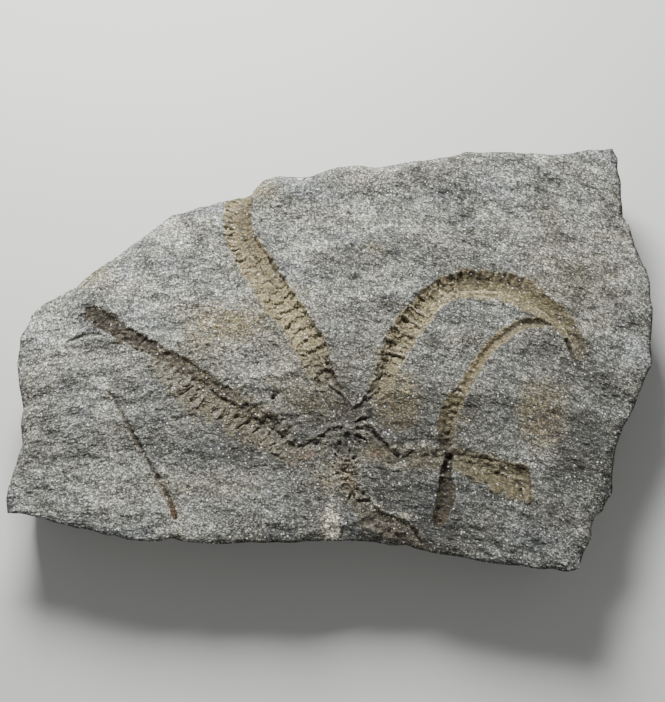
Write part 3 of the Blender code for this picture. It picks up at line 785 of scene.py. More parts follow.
@dataclass(frozen=True)
class Scarp:
    """A small break in the face, low on the right of its path and high on the left.

    Attributes:
        path: Places along the break, in millimetres from the mouth.
        depth: Drop at the break.
        run: Distance over which the low side climbs back.
        brow: Distance over which the high side is cut away.
    """

    path: tuple[tuple[float, float], ...]
    depth: float
    run: float = 0.7
    brow: float = 0.1

    def cut(self, x: Array, y: Array) -> tuple[Array, Array, Array, Array]:
        """Depth of the break: a raised lip on its left, and a fall that climbs back slowly on its right.

        Args:
            x: Places across, in millimetres from the mouth.
            y: Places along.

        Returns:
            The places that it reaches, its depth there, its foot's brown, which is partly lining and partly
            painted shade, and its lip's pale colour, which is partly a painted highlight.
        """
        places = np.array(self.path)
        near = np.flatnonzero(in_box_around(places, 14 * self.run, x, y))
        along, offset, _ = nearest_on_path(places, x[near], y[near])
        total = np.hypot(*np.diff(places, axis=0).T).sum()
        offset += SCARP_PLACE.at(x[near], y[near])
        raised = LIP_HEIGHT * np.exp(-(((offset - LIP_PLACE) / LIP_WIDTH) ** 2))
        brow = np.exp(-((offset / self.brow) ** 2)) - raised
        foot = np.exp(np.minimum(offset, 0) / self.run)
        slower = np.exp(np.minimum(offset, 0) / (APRON_RUN * self.run))
        apron = (1 - APRON_SHARE) * foot + APRON_SHARE * slower
        fall = self.depth * np.where(offset > 0, brow, apron)
        taper = smooth_step(np.minimum(along, total - along), *SCARP_ENDS)
        taper *= np.clip(SCARP_MEAN + SCARP_HEIGHT.at(x[near], y[near]), *SCARP_LIMITS)
        # Brown at the foot, partly painted shade, and a pale lip, partly a painted highlight.
        brown = FOOT_BROWN * self.depth * foot * (offset < 0)
        lip = LIP_PALE_AND_HIGHLIGHT * self.depth * np.exp(-(((offset - PALE_PLACE) / PALE_WIDTH) ** 2)) * (offset > 0)
        return near, fall * taper, brown * taper, lip * taper


SCARPS = (
    # Across the arm to the back edge.
    Scarp(((-31.4, 58.9), (-30, 58.4), (-28.2, 57.6)), 0.72, 0.47),
    Scarp(((-30.4, 61.8), (-29, 61.3), (-28, 60.5)), 0.64, 0.47),
    Scarp(((-30.8, 55.2), (-28.8, 55)), 0.64, 0.47),
    Scarp(((-31.2, 51.6), (-29.8, 51.5), (-29, 52.4)), 0.64, 0.47),
    Scarp(((-30.4, 49), (-28.6, 48.6)), 0.56, 0.45),
    Scarp(((-28.8, 46.3), (-27.6, 46.3), (-26.8, 46)), 0.56, 0.43),
    Scarp(((-26.6, 41), (-24.5, 41.4), (-22.3, 41.6)), 0.4, 0.43),
    Scarp(((-25, 38.6), (-23.3, 38.6), (-21.5, 39), (-19.9, 39.5)), 0.48, 0.43),
    Scarp(((-24.2, 35.9), (-22.4, 36.2), (-20.8, 36.5)), 0.4, 0.43),
    Scarp(((-18.8, 29.9), (-17.6, 30.2), (-16.4, 30.6)), 0.4, 0.43),
    Scarp(((-16.2, 26.7), (-15.3, 26.8), (-14.6, 27.6)), 0.48, 0.43),
    Scarp(((-17.2, 25.6), (-16, 25), (-14.5, 24.5), (-13.6, 24.8)), 0.4, 0.43),
    Scarp(((-11.3, 23.1), (-10.1, 23.4)), 0.64, 0.52),
    Scarp(((-7.3, 21.5), (-6.4, 22), (-5.4, 21.9)), 0.72, 0.47),
    Scarp(((-13.2, 20.2), (-11.5, 20.5), (-9.5, 20.2), (-8, 20.8)), 0.56, 0.43),
    Scarp(((-12.6, 19.6), (-11, 19.2), (-10, 18.9)), 0.48, 0.43),
    Scarp(((-11.8, 16.6), (-10.8, 16.3), (-10, 16)), 0.56, 0.47),
    Scarp(((-17.6, 38.6), (-16.7, 39.2), (-15.9, 40.1)), 0.64, 0.52),
    Scarp(((-12.2, 30.8), (-11.2, 30.8)), 0.56, 0.47),
    Scarp(((-8.2, 19.6), (-7, 18.4), (-6, 16.4)), 0.72, 0.61),
    Scarp(((-5.4, 13.4), (-4.5, 11.4), (-3.2, 10.2), (-1.9, 9.4), (-0.6, 7.5), (0.4, 6), (1.1, 4.6)),
           0.75, 0.4),
    Scarp(((-2, 2.2), (-3, 3.7), (-4.6, 5.2), (-5.6, 7.6), (-7, 10.4)), 0.35, 0.4),
    # Flakes that overlap along the hooked arm.
    Scarp(((8.8, 19.6), (10.2, 19.9), (12, 19.4), (14.2, 18.4)), 1.04, 0.66),
    Scarp(((9.3, 23.9), (10, 23.3), (11.2, 22.9), (13, 22), (15.3, 21)), 0.8, 0.66),
    Scarp(((11, 26.9), (12.3, 26.3), (13.2, 25.3), (15, 24.7), (16.7, 23.8)), 0.88, 0.66),
    Scarp(((13.6, 29.6), (14.6, 28.9), (15.8, 28.3), (18.6, 26.6)), 0.8, 0.61),
    Scarp(((15.2, 32.3), (16.4, 31.6), (18, 30.6), (19.6, 29.4)), 0.8, 0.61),
    Scarp(((17, 35.6), (18, 34.9), (19.3, 34.4), (20.6, 33)), 0.8, 0.61),
    Scarp(((16.5, 27.3), (18, 26.6), (19.5, 25.8)), 0.48, 0.47),
    Scarp(((21.8, 36.8), (23, 36.5), (24.4, 37.6)), 0.48, 0.47),
    Scarp(((23.8, 35.1), (25.5, 36), (28, 36.9)), 0.4, 0.47),
    Scarp(((31.5, 35.2), (33, 34.7), (34.5, 34.5)), 0.32, 0.43),
    Scarp(((7, 13), (8.4, 14.4), (9.6, 14.2)), 0.64, 0.52),
    Scarp(((7.2, 17.6), (8.2, 16.2), (9.4, 15.9)), 0.56, 0.52),
    Scarp(((53, 29.1), (54.5, 29.6), (55.6, 29.1)), 0.28, 0.39),
    Scarp(((1.2, 4.7), (1.8, 5.9), (3.2, 6.6), (3.8, 7.8), (5.4, 8.1), (6, 9.2), (7.4, 9.8), (8.2, 12)),
           0.6, 0.34),
    # Slits, jaws and dish of the mouth.
    Scarp(((1.3, 1.7), (2.6, 2.6), (3.5, 2.9), (4.5, 3.1)), 0.9, 0.36),
    Scarp(((1.9, 0.8), (3.2, 0.6), (4.5, 0.9), (5.6, 0.6)), 0.9, 0.36),
    Scarp(((5.3, 0.8), (6.3, -0.6), (7.1, -2), (8.6, -2.9), (9.6, -3.9), (10.5, -5.8)), 0.9, 0.6),
    Scarp(((1.5, -1.4), (3, -1.8), (4.2, -2.6), (5, -3.9)), 0.9, 0.36),
    Scarp(((-2.8, -3), (-1.9, -3.3), (-1.3, -4.5)), 0.7, 0.3),
    Scarp(((0.3, -2.5), (1, -3.3), (1.2, -4.3)), 0.7, 0.3),
    Scarp(((-3.2, -6.2), (-2, -7.3), (-0.9, -8), (0.5, -7.9), (1.6, -7)), 0.85, 0.4),
    Scarp(((-5.2, -3), (-4.2, -4.6), (-3.6, -6.4)), 0.3, 0.3),
    Scarp(((-4.2, -8.2), (-2.8, -8.5), (-1.6, -9.4)), 0.4, 0.3),
    Scarp(((-3.3, -11.1), (-2, -11.5), (-1, -11.3)), 0.6, 0.3),
    Scarp(((0.3, -11.2), (1.3, -11.4), (2.3, -11.1)), 0.5, 0.3),
    Scarp(((-0.8, -13.1), (0.4, -12.7), (1.2, -13.2)), 0.35, 0.33),
    Scarp(((-0.2, -17.4), (0.8, -15.8), (1.7, -17.3), (3, -17.8), (4.6, -17.4)), 0.95, 0.45),
    Scarp(((1.2, -15.2), (2.4, -15.1)), 0.34, 0.3),
    Scarp(((2.6, -16), (3.8, -15.5)), 0.4, 0.4),
    Scarp(((-7, -2), (-6.2, -1.2), (-5.5, -0.4), (-4.7, 0.2), (-3, 0.7), (-1.3, 0.7)), 0.75, 0.36),
    Scarp(((-15.8, -2.6), (-14.4, -3.8), (-12.9, -4.4), (-10.8, -3.9), (-8.6, -2.7), (-7.2, -2.1)), 0.8, 0.4),
    # The ragged line along the arm to the left, and the edge of its ribs.
    Scarp(((-34.5, 10.6), (-32, 8.7), (-30.5, 7.9), (-29, 7.1), (-28, 6.3), (-27, 6.1), (-26.2, 4.5)),
           0.62, 0.45),
    Scarp(((-26.2, 4.5), (-25, 4.8), (-24.4, 5.2), (-23.6, 3.4), (-22.6, 3), (-21.8, 1.9)), 0.68, 0.45),
    Scarp(((-21.8, 1.9), (-20.4, 2.3), (-19.4, 0.7), (-18.4, 0.1), (-17.4, -0.4), (-16.5, -0.8)), 0.68, 0.45),
    Scarp(((-16.5, -0.8), (-15.6, -2.1), (-14.6, -3.1), (-13.5, -4.2)), 0.68, 0.43),
    Scarp(((-26, -2.4), (-24.5, -3.4), (-22.5, -4), (-20, -4.8), (-18.5, -5.9)), 0.36, 0.39),
    Scarp(((-18.8, -5.7), (-17.2, -6.7), (-15.8, -7.4), (-14.9, -7)), 0.72, 0.47),
    Scarp(((-14, -8.4), (-12, -9.5), (-10, -9.8)), 0.32, 0.39),
    Scarp(((-57.5, 23.2), (-55, 21.6), (-52.5, 20.4), (-50, 19.7)), 0.4, 0.47),
    # Knobs, ticks and hollow of the arm to the right.
    Scarp(((10.5, -5.8), (11.3, -6.5), (12.5, -6.4)), 0.8, 0.4),
    Scarp(((13.2, -7.1), (14.2, -6.5), (15.2, -6.1)), 0.75, 0.4),
    Scarp(((17.6, -6.5), (18.8, -6.6), (19.8, -6.2)), 0.4, 0.3),
    Scarp(((20.5, -6.2), (21.4, -6.9), (22.6, -6.6)), 0.35, 0.3),
    Scarp(((26.2, -6.4), (28, -6.2), (28.9, -5.2), (29.8, -5.4)), 0.5, 0.35),
    Scarp(((30.4, -6.8), (32, -7.1), (33.9, -7.3), (35.5, -8.2)), 0.5, 0.3),
    Scarp(((29.6, -8.2), (31.5, -8.6)), 0.4, 0.33),
    Scarp(((32.2, -9), (33.7, -9.4)), 0.36, 0.33),
    Scarp(((34.5, -10), (35.8, -10.6), (37, -10.7), (38.5, -11.6), (40.8, -12.8), (43.3, -14.5)), 0.45, 0.33),
    Scarp(((38.8, -9.1), (40.5, -8.9), (42, -9.3), (43.7, -9.7), (44.6, -11)), 0.5, 0.5),
    Scarp(((42.2, -14.4), (42.4, -16), (42.8, -17.5)), 0.64, 0.43),
    Scarp(((28.8, -12.1), (30.2, -12.7), (31.3, -13)), 0.32, 0.39),
    Scarp(((11, -10.7), (12.6, -10.8), (13.3, -10.3), (14.3, -10.2)), 0.56, 0.47),
    Scarp(((16.6, -3.4), (17, -4.4), (17.1, -5.7)), 0.72, 0.47, 0.3),
    Scarp(((13.4, -4.2), (13.7, -5.8)), 0.41, 0.3, 0.3),
    # The ledge over the arm to the front edge.
    Scarp(((5.1, -17.2), (6.1, -19.3), (7.9, -21), (10.3, -21.7), (12.2, -22.2), (14.3, -23)), 0.65, 0.44),
    Scarp(((14.3, -23), (15.7, -24.5), (16.6, -26.2), (17.6, -28.2)), 0.57, 0.42),
    Scarp(((-1.9, -27), (-1.6, -24.5), (-2, -21.4)), 0.4, 0.5),
    Scarp(((7.1, -22), (8.7, -22.8), (10.5, -23.2), (12.5, -24.7), (14.7, -25.7)), 0.32, 0.31),
    Scarp(((-1.5, -20.1), (0.5, -19.9), (2, -20.7)), 0.32, 0.43),
    Scarp(((1, -23.5), (2.6, -23.2)), 0.4, 0.43),
    # Single breaks of the face.
    Scarp(((45.2, -5.7), (46.3, -7.7), (47.4, -8.9), (48.9, -9.8)), 0.48, 0.47, 0.25),
    Scarp(((43.4, 14.3), (44.5, 14.7), (45.3, 14.2)), 0.72, 0.47),
    Scarp(((28.7, -30.2), (29.8, -31)), 0.48, 0.47),
    Scarp(((-26, 19.4), (-22.5, 18.6), (-20, 19.2)), 0.32, 0.66),
)


@dataclass(frozen=True)
class Crumble:
    """Crumbled ground, where the stone broke into small sharp pieces.

    Attributes:
        x: Place across, in millimetres from the mouth.
        y: Place along.
        across: Reach across.
        along: Reach along.
        height: Height of the pieces.
    """

    x: float
    y: float
    across: float
    along: float
    height: float

    def lift(self, x: Array, y: Array) -> Array:
        """Height of the pieces: creased noise with sharp ridges, inside a bell round the middle."""
        reach = np.exp(-(((x - self.x) / self.across) ** 2 + ((y - self.y) / self.along) ** 2))
        return self.height * reach * (np.abs(SHARDS.at(x, y)) - CRUMBLE_LEVEL)


CRUMBLES = (
    Crumble(-1, -6, 7, 7, -1.0), Crumble(-7, 14, 4, 6, -0.9), Crumble(5, 9, 4, 4, -0.7),
    Crumble(0, -13, 4, 6, -0.8), Crumble(16, -5, 7, 2.5, 1.0), Crumble(36, -8.5, 8, 2.4, 0.9),
    Crumble(-9, -7, 6, 4, -0.6), Crumble(-18, 2, 4, 2.4, 0.9), Crumble(-24, 6.2, 5, 2.6, 0.9),
    Crumble(-32, 11, 6, 2.6, 0.7), Crumble(-41, 16.4, 5, 2.2, 0.6), Crumble(9, -24, 9, 4, -0.5),
    Crumble(24, -5.5, 3, 3, 0.6), Crumble(-4, -22, 4, 4, 0.5),
)


@dataclass(frozen=True)
class Knob:
    """A small bump of the face, or a pit where its height is negative."""

    x: float
    y: float
    across: float
    along: float
    height: float

    def lift(self, x: Array, y: Array) -> Array:
        """Height of the bump: a bell whose shoulders are squared a little."""
        reach = ((x - self.x) / self.across) ** 2 + ((y - self.y) / self.along) ** 2
        return self.height * np.exp(-(reach**KNOB_SHOULDER))


KNOBS = (
    Knob(-18.7, 8.3, 0.5, 0.5, -1.2), Knob(43.8, 12.6, 1.2, 1.6, 0.5),
    Knob(-26.6, 6.1, 1.0, 1.5, 0.5), Knob(-21.9, 3.8, 1.0, 1.4, 0.45), Knob(-16.2, 0.5, 1.2, 0.9, 0.4),
    Knob(11.7, -5.1, 0.9, 0.8, 1.0), Knob(14.7, -4.8, 1.0, 0.9, 1.0), Knob(17.0, -5.2, 0.5, 0.7, 0.6),
    Knob(18.6, -4.5, 0.7, 1.2, 0.9), Knob(21.0, -5.3, 0.7, 0.7, 0.5),
    Knob(4.4, 1.8, 1.8, 0.5, 0.35), Knob(3.5, -0.6, 1.4, 0.6, 0.5), Knob(-0.2, 0.2, 0.8, 0.7, 0.4),
    Knob(-1.2, -4.6, 1.6, 1.9, 0.35), Knob(13, -9.2, 1.4, 0.8, 0.35), Knob(-3, 6.5, 0.5, 1.8, 0.3),
    Knob(-1.9, 4.2, 0.5, 1.3, 0.5), Knob(24.9, -8.2, 0.35, 0.35, 0.9), Knob(23.1, -11.6, 0.3, 0.5, 0.5),
    Knob(42.4, -10.6, 2.0, 1.2, -0.5), Knob(-18, 13.6, 4.4, 1.5, 0.45), Knob(-15, 14.8, 2.2, 0.9, 0.3),
    Knob(6.5, -19.5, 2.0, 0.9, 0.3), Knob(-4, -23, 2.3, 3.2, -0.35),
)


class StainAndPaintedLight(Enum):
    """Which colour a patch of the face lays, as its column: ochre and rust stains; pale stone, with painted
    highlights along some lips and rims; and darker ground, with painted shade in a pit, a hollow and under
    knobs. A negative dark patch is pale.
    """

    OCHRE = 0
    RUST = 1
    CREAM_AND_PAINTED_HIGHLIGHT = 2
    DARK_AND_PAINTED_SHADE = 3


@dataclass(frozen=True)
class Patch:
    """A patch of colour on the face: a stain, pale stone, a painted highlight, painted shade, or darker and
    paler ground. Its place, its reach in each direction, its strength and its edge.
    """

    x: float
    y: float
    across: float
    along: float
    strength: float
    edge: float = 1.0

    def cover(self, x: Array, y: Array) -> Array:
        """Strength of the stain: a bell round the patch, with a flatter top and sharper sides past edge 1."""
        reach = ((x - self.x) / self.across) ** 2 + ((y - self.y) / self.along) ** 2
        return self.strength * np.exp(-(reach**self.edge))


PATCHES = {
    StainAndPaintedLight.OCHRE: (
        Patch(-8, 8, 42, 24, 0.26), Patch(-29, 28, 9, 6, 0.9), Patch(47.5, 4, 6.5, 9, 0.75, 2.5),
        Patch(12, 7, 6, 8.5, 0.8, 3.0), Patch(-65, 41, 5, 3, 0.6), Patch(-22.5, 64.5, 3.5, 3, 0.9),
        Patch(-13, 7, 9, 4, 0.35), Patch(6.5, -5.5, 4, 2, 0.8), Patch(55, 38, 22, 22, 0.25),
        Patch(-3, -11, 5, 4, 0.5), Patch(-30, -14, 9, 3, 0.3), Patch(28, 2, 6, 3, 0.25),
        Patch(7, 48, 3, 1.8, 0.6), Patch(-38, 24, 6, 5, 0.3),
    ),
    StainAndPaintedLight.RUST: (
        Patch(-0.5, -10, 3.5, 5, 0.15), Patch(-10, -6.3, 1.8, 1.3, 0.8), Patch(47.5, 3, 5, 7, 0.2),
        Patch(-42.6, -20.5, 1.2, 2, 0.6), Patch(12, -24.5, 5, 2.5, 0.2), Patch(7, -6.5, 2.5, 1.5, 0.6),
        Patch(1, -14, 1.5, 2, 0.25), Patch(-4.5, -13.5, 2, 1, 0.2), Patch(22, -22, 2, 2, 0.15),
    ),
    # Pale stone, chips and bright grains. The thin strokes along the mouth's rims at (5.8, 1.2) and (-3.6,
    # 1.3), and the one on the ledge's lip at (7, -19.8), are painted highlights.
    StainAndPaintedLight.CREAM_AND_PAINTED_HIGHLIGHT: (
        Patch(-35, 27.8, 0.8, 0.8, 1.0), Patch(-4.2, -23.8, 2.0, 3.6, 1.9, 1.3),
        Patch(5.8, 1.2, 1.2, 0.35, 1.3), Patch(-3.6, 1.3, 1.8, 0.3, 1.0), Patch(7, -19.8, 1.8, 0.9, 1.3),
        Patch(-60.3, 11.4, 0.35, 0.9, 1.0), Patch(43.7, 12.6, 1.0, 1.4, 0.7),
        Patch(13, -9.4, 1.7, 1.0, 1.2, 2.0), Patch(11.8, -5.1, 1.2, 0.9, 1.3, 2.0),
        Patch(14.9, -4.6, 1.2, 1.1, 1.3, 2.0), Patch(18.6, -4.2, 0.8, 1.2, 1.3, 2.0),
        Patch(3.6, 1.2, 1.2, 0.6, 1.1), Patch(3.8, -0.7, 1.2, 0.5, 1.1), Patch(0, 0.4, 1.0, 0.8, 0.9),
        Patch(-1, 58, 0.7, 1.6, 0.6), Patch(12.5, -22, 3, 1.3, 0.9), Patch(34.8, -2.7, 0.6, 0.3, 1.0),
        Patch(53.9, 0.6, 0.5, 0.5, 1.0), Patch(24.9, -8.2, 0.35, 0.35, 1.0),
        Patch(23.1, -11.6, 0.3, 0.4, 0.8), Patch(-46, 55, 4, 2.5, 0.35), Patch(-33, 5, 0.8, 1.2, 0.5),
        Patch(-28, 1, 0.8, 1.1, 0.5),
    ),
    # Darker patches, and paler ones where the strength is negative. Those in the hollow at (42.4, -10.4), in
    # the pit at (-18.7, 8.3) and under the knobs of the arm to the right at (11.2, -7.4), (14.2, -6.9) and
    # (17.6, -5.9) are painted shade; the rest darken and pale the ground.
    StainAndPaintedLight.DARK_AND_PAINTED_SHADE: (
        Patch(8, -4, 62, 24, 0.55), Patch(-27.6, 57, 4.5, 12, 0.1), Patch(-14, 28, 7, 9, -0.2),
        Patch(52, 33, 10, 7, 0.14), Patch(-62, 28, 7, 4, 0.4), Patch(70, -1, 5, 15, -0.5),
        Patch(62, -26, 5, 9, -0.45), Patch(-27, 55, 2.5, 7, 0.12), Patch(-18, 42, 2.5, 9, 0.25),
        Patch(-20.5, 56, 2.5, 6, -0.3), Patch(-15.5, 46, 2.5, 6, -0.25), Patch(-5, -13, 13, 7, -0.5),
        Patch(-60, -10, 20, 12, -0.15), Patch(-8, 9, 9, 5, 0.12), Patch(-42, 8, 20, 12, 0.05),
        Patch(6, -1, 20, 12, 0.28), Patch(-0.6, -5, 2.4, 2.6, 0.45), Patch(24, -24, 40, 11, 0.4),
        Patch(60, -2, 11, 16, 0.38), Patch(-62, 40, 22, 14, -0.3), Patch(-77, 26, 7, 9, -0.75),
        Patch(-38, 58, 10, 6, -0.2), Patch(30, 62, 26, 10, 0.15), Patch(46, -6, 6, 5, -0.4),
        Patch(-35, -6, 13, 3.5, 0.45), Patch(42.4, -10.4, 2.1, 1.4, 0.35), Patch(-32, -22, 10, 6, -0.2),
        Patch(52, 20, 30, 16, 0.2), Patch(-14, 13.6, 5, 1.6, -0.35), Patch(20, 50, 9, 3, 0.2),
        Patch(-4.2, -23.8, 2.4, 3.6, -0.4), Patch(11.2, -7.4, 1.2, 0.7, 0.9),
        Patch(14.2, -6.9, 1.3, 0.6, 0.9), Patch(17.6, -5.9, 0.7, 0.8, 0.6), Patch(-18.7, 8.3, 0.6, 0.6, 0.9),
    ),
}


# --- The slab ---


@dataclass
class Slab:
    """The slab of sandstone: its broken outline, its face, its sides and its flat back, in millimetres.

    Attributes:
        level: Height of the face over the back.
        columns: Cells of the face across.
        rows: Cells along.
        side_levels: Rings of points down the sides.
        gathered: Where the columns lie closest and how much closer, and the same of the rows.
        chips: How far small chips move the outline, across and along.
        swells: Broad swells of the face.
        flakes: Flat flakes with creases between them.
        flake_bend: How far the flakes' edges wander.
        flake_lean: How far they lie across the slab.
        splits: Levels that the face splits down to.
        split_step: Height of a split.
        split_flat: Share of a split's level that is flat.
        hollows: Shallow hollows.
        ripples: Torn ripples of the bedding.
        tearing: Where the ripples are rougher or calmer.
        front_calm: How much calmer they are along the front.
        front_run: Millimetres in front of the mouth from which they are calmest.
        grit: The finest relief.
        lined_calm: How much of all this a lined hollow loses.
        fine_lining: Lining from which the face's cells are split.
        fine_depth: Depth of a hollow from which they are split.
        undercuts: How far the sides, the back and the front draw in towards the back.
        undercut_curve: Power of the way down that they draw in by.
        facets: Broken facets of the sides.
        facet_depth: How far they lie in on average.
        beds: Bedding of the sides.
        side_tears: Torn ground between them.
        broken_run: Share of the way down from which facets, beds and torn ground have their full depth.
        saw_depth: How far below the back the sides would meet their full undercut.
        rim_reach: Points on each side that the rim's direction is taken over.
        rim_step: The distance to the rim is taken to a line through one in so many points of the outline.
        rim_default: Width and drop of the rounded rim.
        rim_stray: How the width strays.
        back_side: Corners of the outline at the back, from the left.
        left_side: The same on the left, from the front.
        front_side: The same at the front, from the left.
        right_side: The same on the right, from the front.
        worn_rims: Rows of x, y, reach, width and drop where the rim is worn further.
        moulds: The hollows of the arms.
        mouth: Place of the mouth in the frame, in metres, once the slab is built.
    """

    level: float = 22.0
    columns: int = 290
    rows: int = 172
    side_levels: int = 13
    gathered: tuple[float, float, float, float] = (0.5, 0.25, 0.38, 0.2)
    chips: tuple[Bumps, Bumps] = (Bumps(0.35, (3.5, 3.5), Seed.CHIP_X), Bumps(0.35, (3.5, 3.5), Seed.CHIP_Y))
    swells: Bumps = Bumps(0.55, (34, 34), Seed.SWELL)
    flakes: Bumps = Bumps(0.4, (11, 5), Seed.FLAKE, eased=False)
    flake_bend: Bumps = Bumps(3.0, (11, 11), Seed.BEND)
    flake_lean: float = 0.3
    splits: Bumps = Bumps(3.2, (12, 5), Seed.SPLIT, 3)
    split_step: float = 0.28
    split_flat: float = 0.8
    hollows: Bumps = Bumps(0.42, (9.5, 6.0), Seed.HOLLOW)
    ripples: Bumps = Bumps(0.3, (6.0, 2.9), Seed.RIPPLE, 3, eased=False)
    tearing: Bumps = Bumps(0.6, (21, 15), Seed.COVER)
    front_calm: float = 0.3
    front_run: float = 15.0
    grit: Bumps = Bumps(0.04, (1.5, 1.2), Seed.GRIT, eased=False)
    lined_calm: float = 0.75
    fine_lining: float = 0.02
    fine_depth: float = 0.05
    undercuts: tuple[float, float, float] = (4.0, 3.5, 10.0)
    undercut_curve: float = 0.8
    facets: Bumps = Bumps(2.2, (13, 13), Seed.FACET, eased=False)
    facet_depth: float = 0.88
    beds: Bumps = Bumps(0.6, (9.0, 2.6), Seed.BED, eased=False)
    side_tears: Bumps = Bumps(0.45, (4.5, 1.6), Seed.TEAR, 3, eased=False)
    broken_run: float = 0.25
    saw_depth: float = 3.0
    rim_reach: int = 9
    rim_step: int = 12
    rim_default: Span = (1.6, 0.7)
    rim_stray: Bumps = Bumps(0.35, (5, 5), Seed.EDGE, 2)
    back_side: tuple[Station, ...] = (
        (-80, 30), (-76, 33.8), (-69, 39), (-64, 43.5), (-57.5, 48), (-51, 53.3), (-45, 57.5), (-39.5, 59),
        (-35, 60.8), (-30.5, 62.4), (-26.5, 62.8), (-24.5, 64.6), (-22, 67), (-18.5, 68.1), (-14, 68),
        (-8.5, 68.8), (-2.5, 70.7), (3, 71.4), (7.5, 71.1), (15.5, 72.4), (26.5, 74.1), (31, 75.2),
        (40, 75.1), (47.5, 74.8), (54, 74.1), (58.5, 74.3), (62.5, 75.6), (69, 76.2),
    )
    left_side: tuple[Station, ...] = (
        (-83, -20.8), (-83.4, -17.5), (-82.8, -14), (-81.4, -8.6), (-80.7, -3.3), (-81.2, 1), (-80.8, 5.5),
        (-82, 11), (-83.1, 17.3), (-82.5, 24), (-80, 30),
    )
    front_side: tuple[Station, ...] = (
        (-83, -20.8), (-79.4, -20.8), (-73, -22.6), (-61, -25.8), (-54.5, -27.2), (-48.5, -27.7),
        (-43, -27.2), (-40, -28.2), (-34, -28.4), (-23, -28), (-12.5, -28), (-7, -27.7), (-4.3, -27.3),
        (4, -27.7), (10.5, -28.9), (14, -28.7), (17, -29.7), (30.5, -32.1), (37.5, -33.6), (44.5, -34.3),
        (52.5, -35), (55.2, -34.8),
    )
    right_side: tuple[Station, ...] = (
        (55.2, -34.8), (56.3, -31), (58.7, -26.7), (60, -21.3), (62, -19.8), (64.3, -16), (64.8, -11),
        (65.6, -5.6), (68, 1), (71, 6.4), (74.8, 14.2), (76.2, 17.5), (76, 23), (76.7, 28.7), (76.8, 39),
        (74.4, 45.6), (72.7, 51.7), (72.4, 55), (70.7, 57), (70.4, 62), (70.5, 68), (70, 73), (69, 76.2),
    )
    worn_rims: tuple[Station, ...] = (
        (-62, 44, 26, 8.0, 2.6), (-83, 12, 16, 5.0, 1.8), (-30, 62, 9, 5.0, 2.2), (10, 72, 30, 4.0, 1.3),
        (63, -20, 13, 5.0, 2.6), (74, 20, 14, 2.5, 1.0), (-4, -26, 5, 5.5, 2.2), (11, -29, 9, 5.0, 2.4),
    )
    moulds: tuple[ArmMould, ...] = MOULDS
    mouth: Vector = field(default_factory=Vector, init=False)

    def side_points(self, side: tuple[Station, ...], share: Array) -> Array:
        """Places along one side of the outline, roughened by small chips.

        Args:
            side: Corners of the side, in order.
            share: Where each place stands along the side, from 0 to 1.

        Returns:
            Rows of x and y.
        """
        corners = np.array(side, float)
        chord = np.r_[0, np.cumsum(np.hypot(*np.diff(corners, axis=0).T))]
        at = share * chord[-1]
        x, y = (np.interp(at, chord, corners[:, axis]) for axis in (0, 1))
        chip_x, chip_y = (chips.at(x, y) for chips in self.chips)
        return np.column_stack([x + chip_x, y + chip_y])

    def face_grid(self) -> tuple[Array, Array]:
        """Plan places of the face: a Coons patch, both pairs of sides less the corners between them.

        Returns:
            The places' x and their y, each as rows by columns.
        """
        middle_a, pull_a, middle_b, pull_b = self.gathered
        a = self.drawn_together(2 * self.columns + 1, middle_a, pull_a)
        b = self.drawn_together(2 * self.rows + 1, middle_b, pull_b)
        front, back = (self.side_points(side, a) for side in (self.front_side, self.back_side))
        left, right = (self.side_points(side, b) for side in (self.left_side, self.right_side))
        a, b = a[None, :, None], b[:, None, None]
        sides = front[None] * (1 - b) + back[None] * b + left[:, None] * (1 - a) + right[:, None] * a
        corners = (front[0] * (1 - a) + front[-1] * a) * (1 - b) + (back[0] * (1 - a) + back[-1] * a) * b
        plan = sides - corners
        return plan[..., 0], plan[..., 1]

    @staticmethod
    def drawn_together(count: int, middle: float, pull: float) -> Array:
        """Shares from 0 to 1 that lie closest around a middle, where their spacing is 1 - pull of the mean.

        Args:
            count: How many shares.
            middle: Where they lie closest.
            pull: How much closer.

        Returns:
            The shares: u less pull / 2 pi * (sin 2 pi (u - middle) + sin 2 pi middle).
        """
        share = np.linspace(0, 1, count)
        turn = 2 * math.pi
        return share - pull / turn * (np.sin(turn * (share - middle)) + math.sin(turn * middle))

    @staticmethod
    def rim_order(number: Array) -> Array:
        """Numbers of the face's rim points, anticlockwise from the front left corner."""
        return np.concatenate([number[0, :-1], number[:-1, -1], number[-1, :0:-1], number[:0:-1, 0]])

    @staticmethod
    def face_cells(number: Array, split: Array) -> tuple[Array, Array]:
        """Polygons of the face: quads, each split in four where the relief is fine.

        A whole cell beside a split one takes the point in the middle of their shared edge, so no gap opens.

        Args:
            number: The points' numbers on the fine grid, twice as close as the cells.
            split: True for each cell that is split, as rows by columns.

        Returns:
            The polygons' point numbers in one run, and how many points each polygon has.
        """
        quads = np.stack([number[:-1, :-1], number[:-1, 1:], number[1:, 1:], number[1:, :-1]], axis=-1)
        small = quads[np.repeat(np.repeat(split, 2, axis=0), 2, axis=1)]
        around = ((0, 0), (0, 1), (0, 2), (1, 2), (2, 2), (2, 1), (2, 0), (1, 0))
        rows, columns = np.nonzero(~split)
        ring = np.stack([number[2 * rows + down, 2 * columns + across] for down, across in around], axis=1)
        fenced = np.pad(split, 1)
        beside = [fenced[rows + down, columns + across] for down, across in around[1::2]]
        taken = np.ones(ring.shape, bool)
        taken[:, 1::2] = np.stack(beside, axis=1)
        counts = np.concatenate([np.full(len(small), 4), taken.sum(axis=1)])
        return np.concatenate([small.ravel(), ring[taken]]), counts

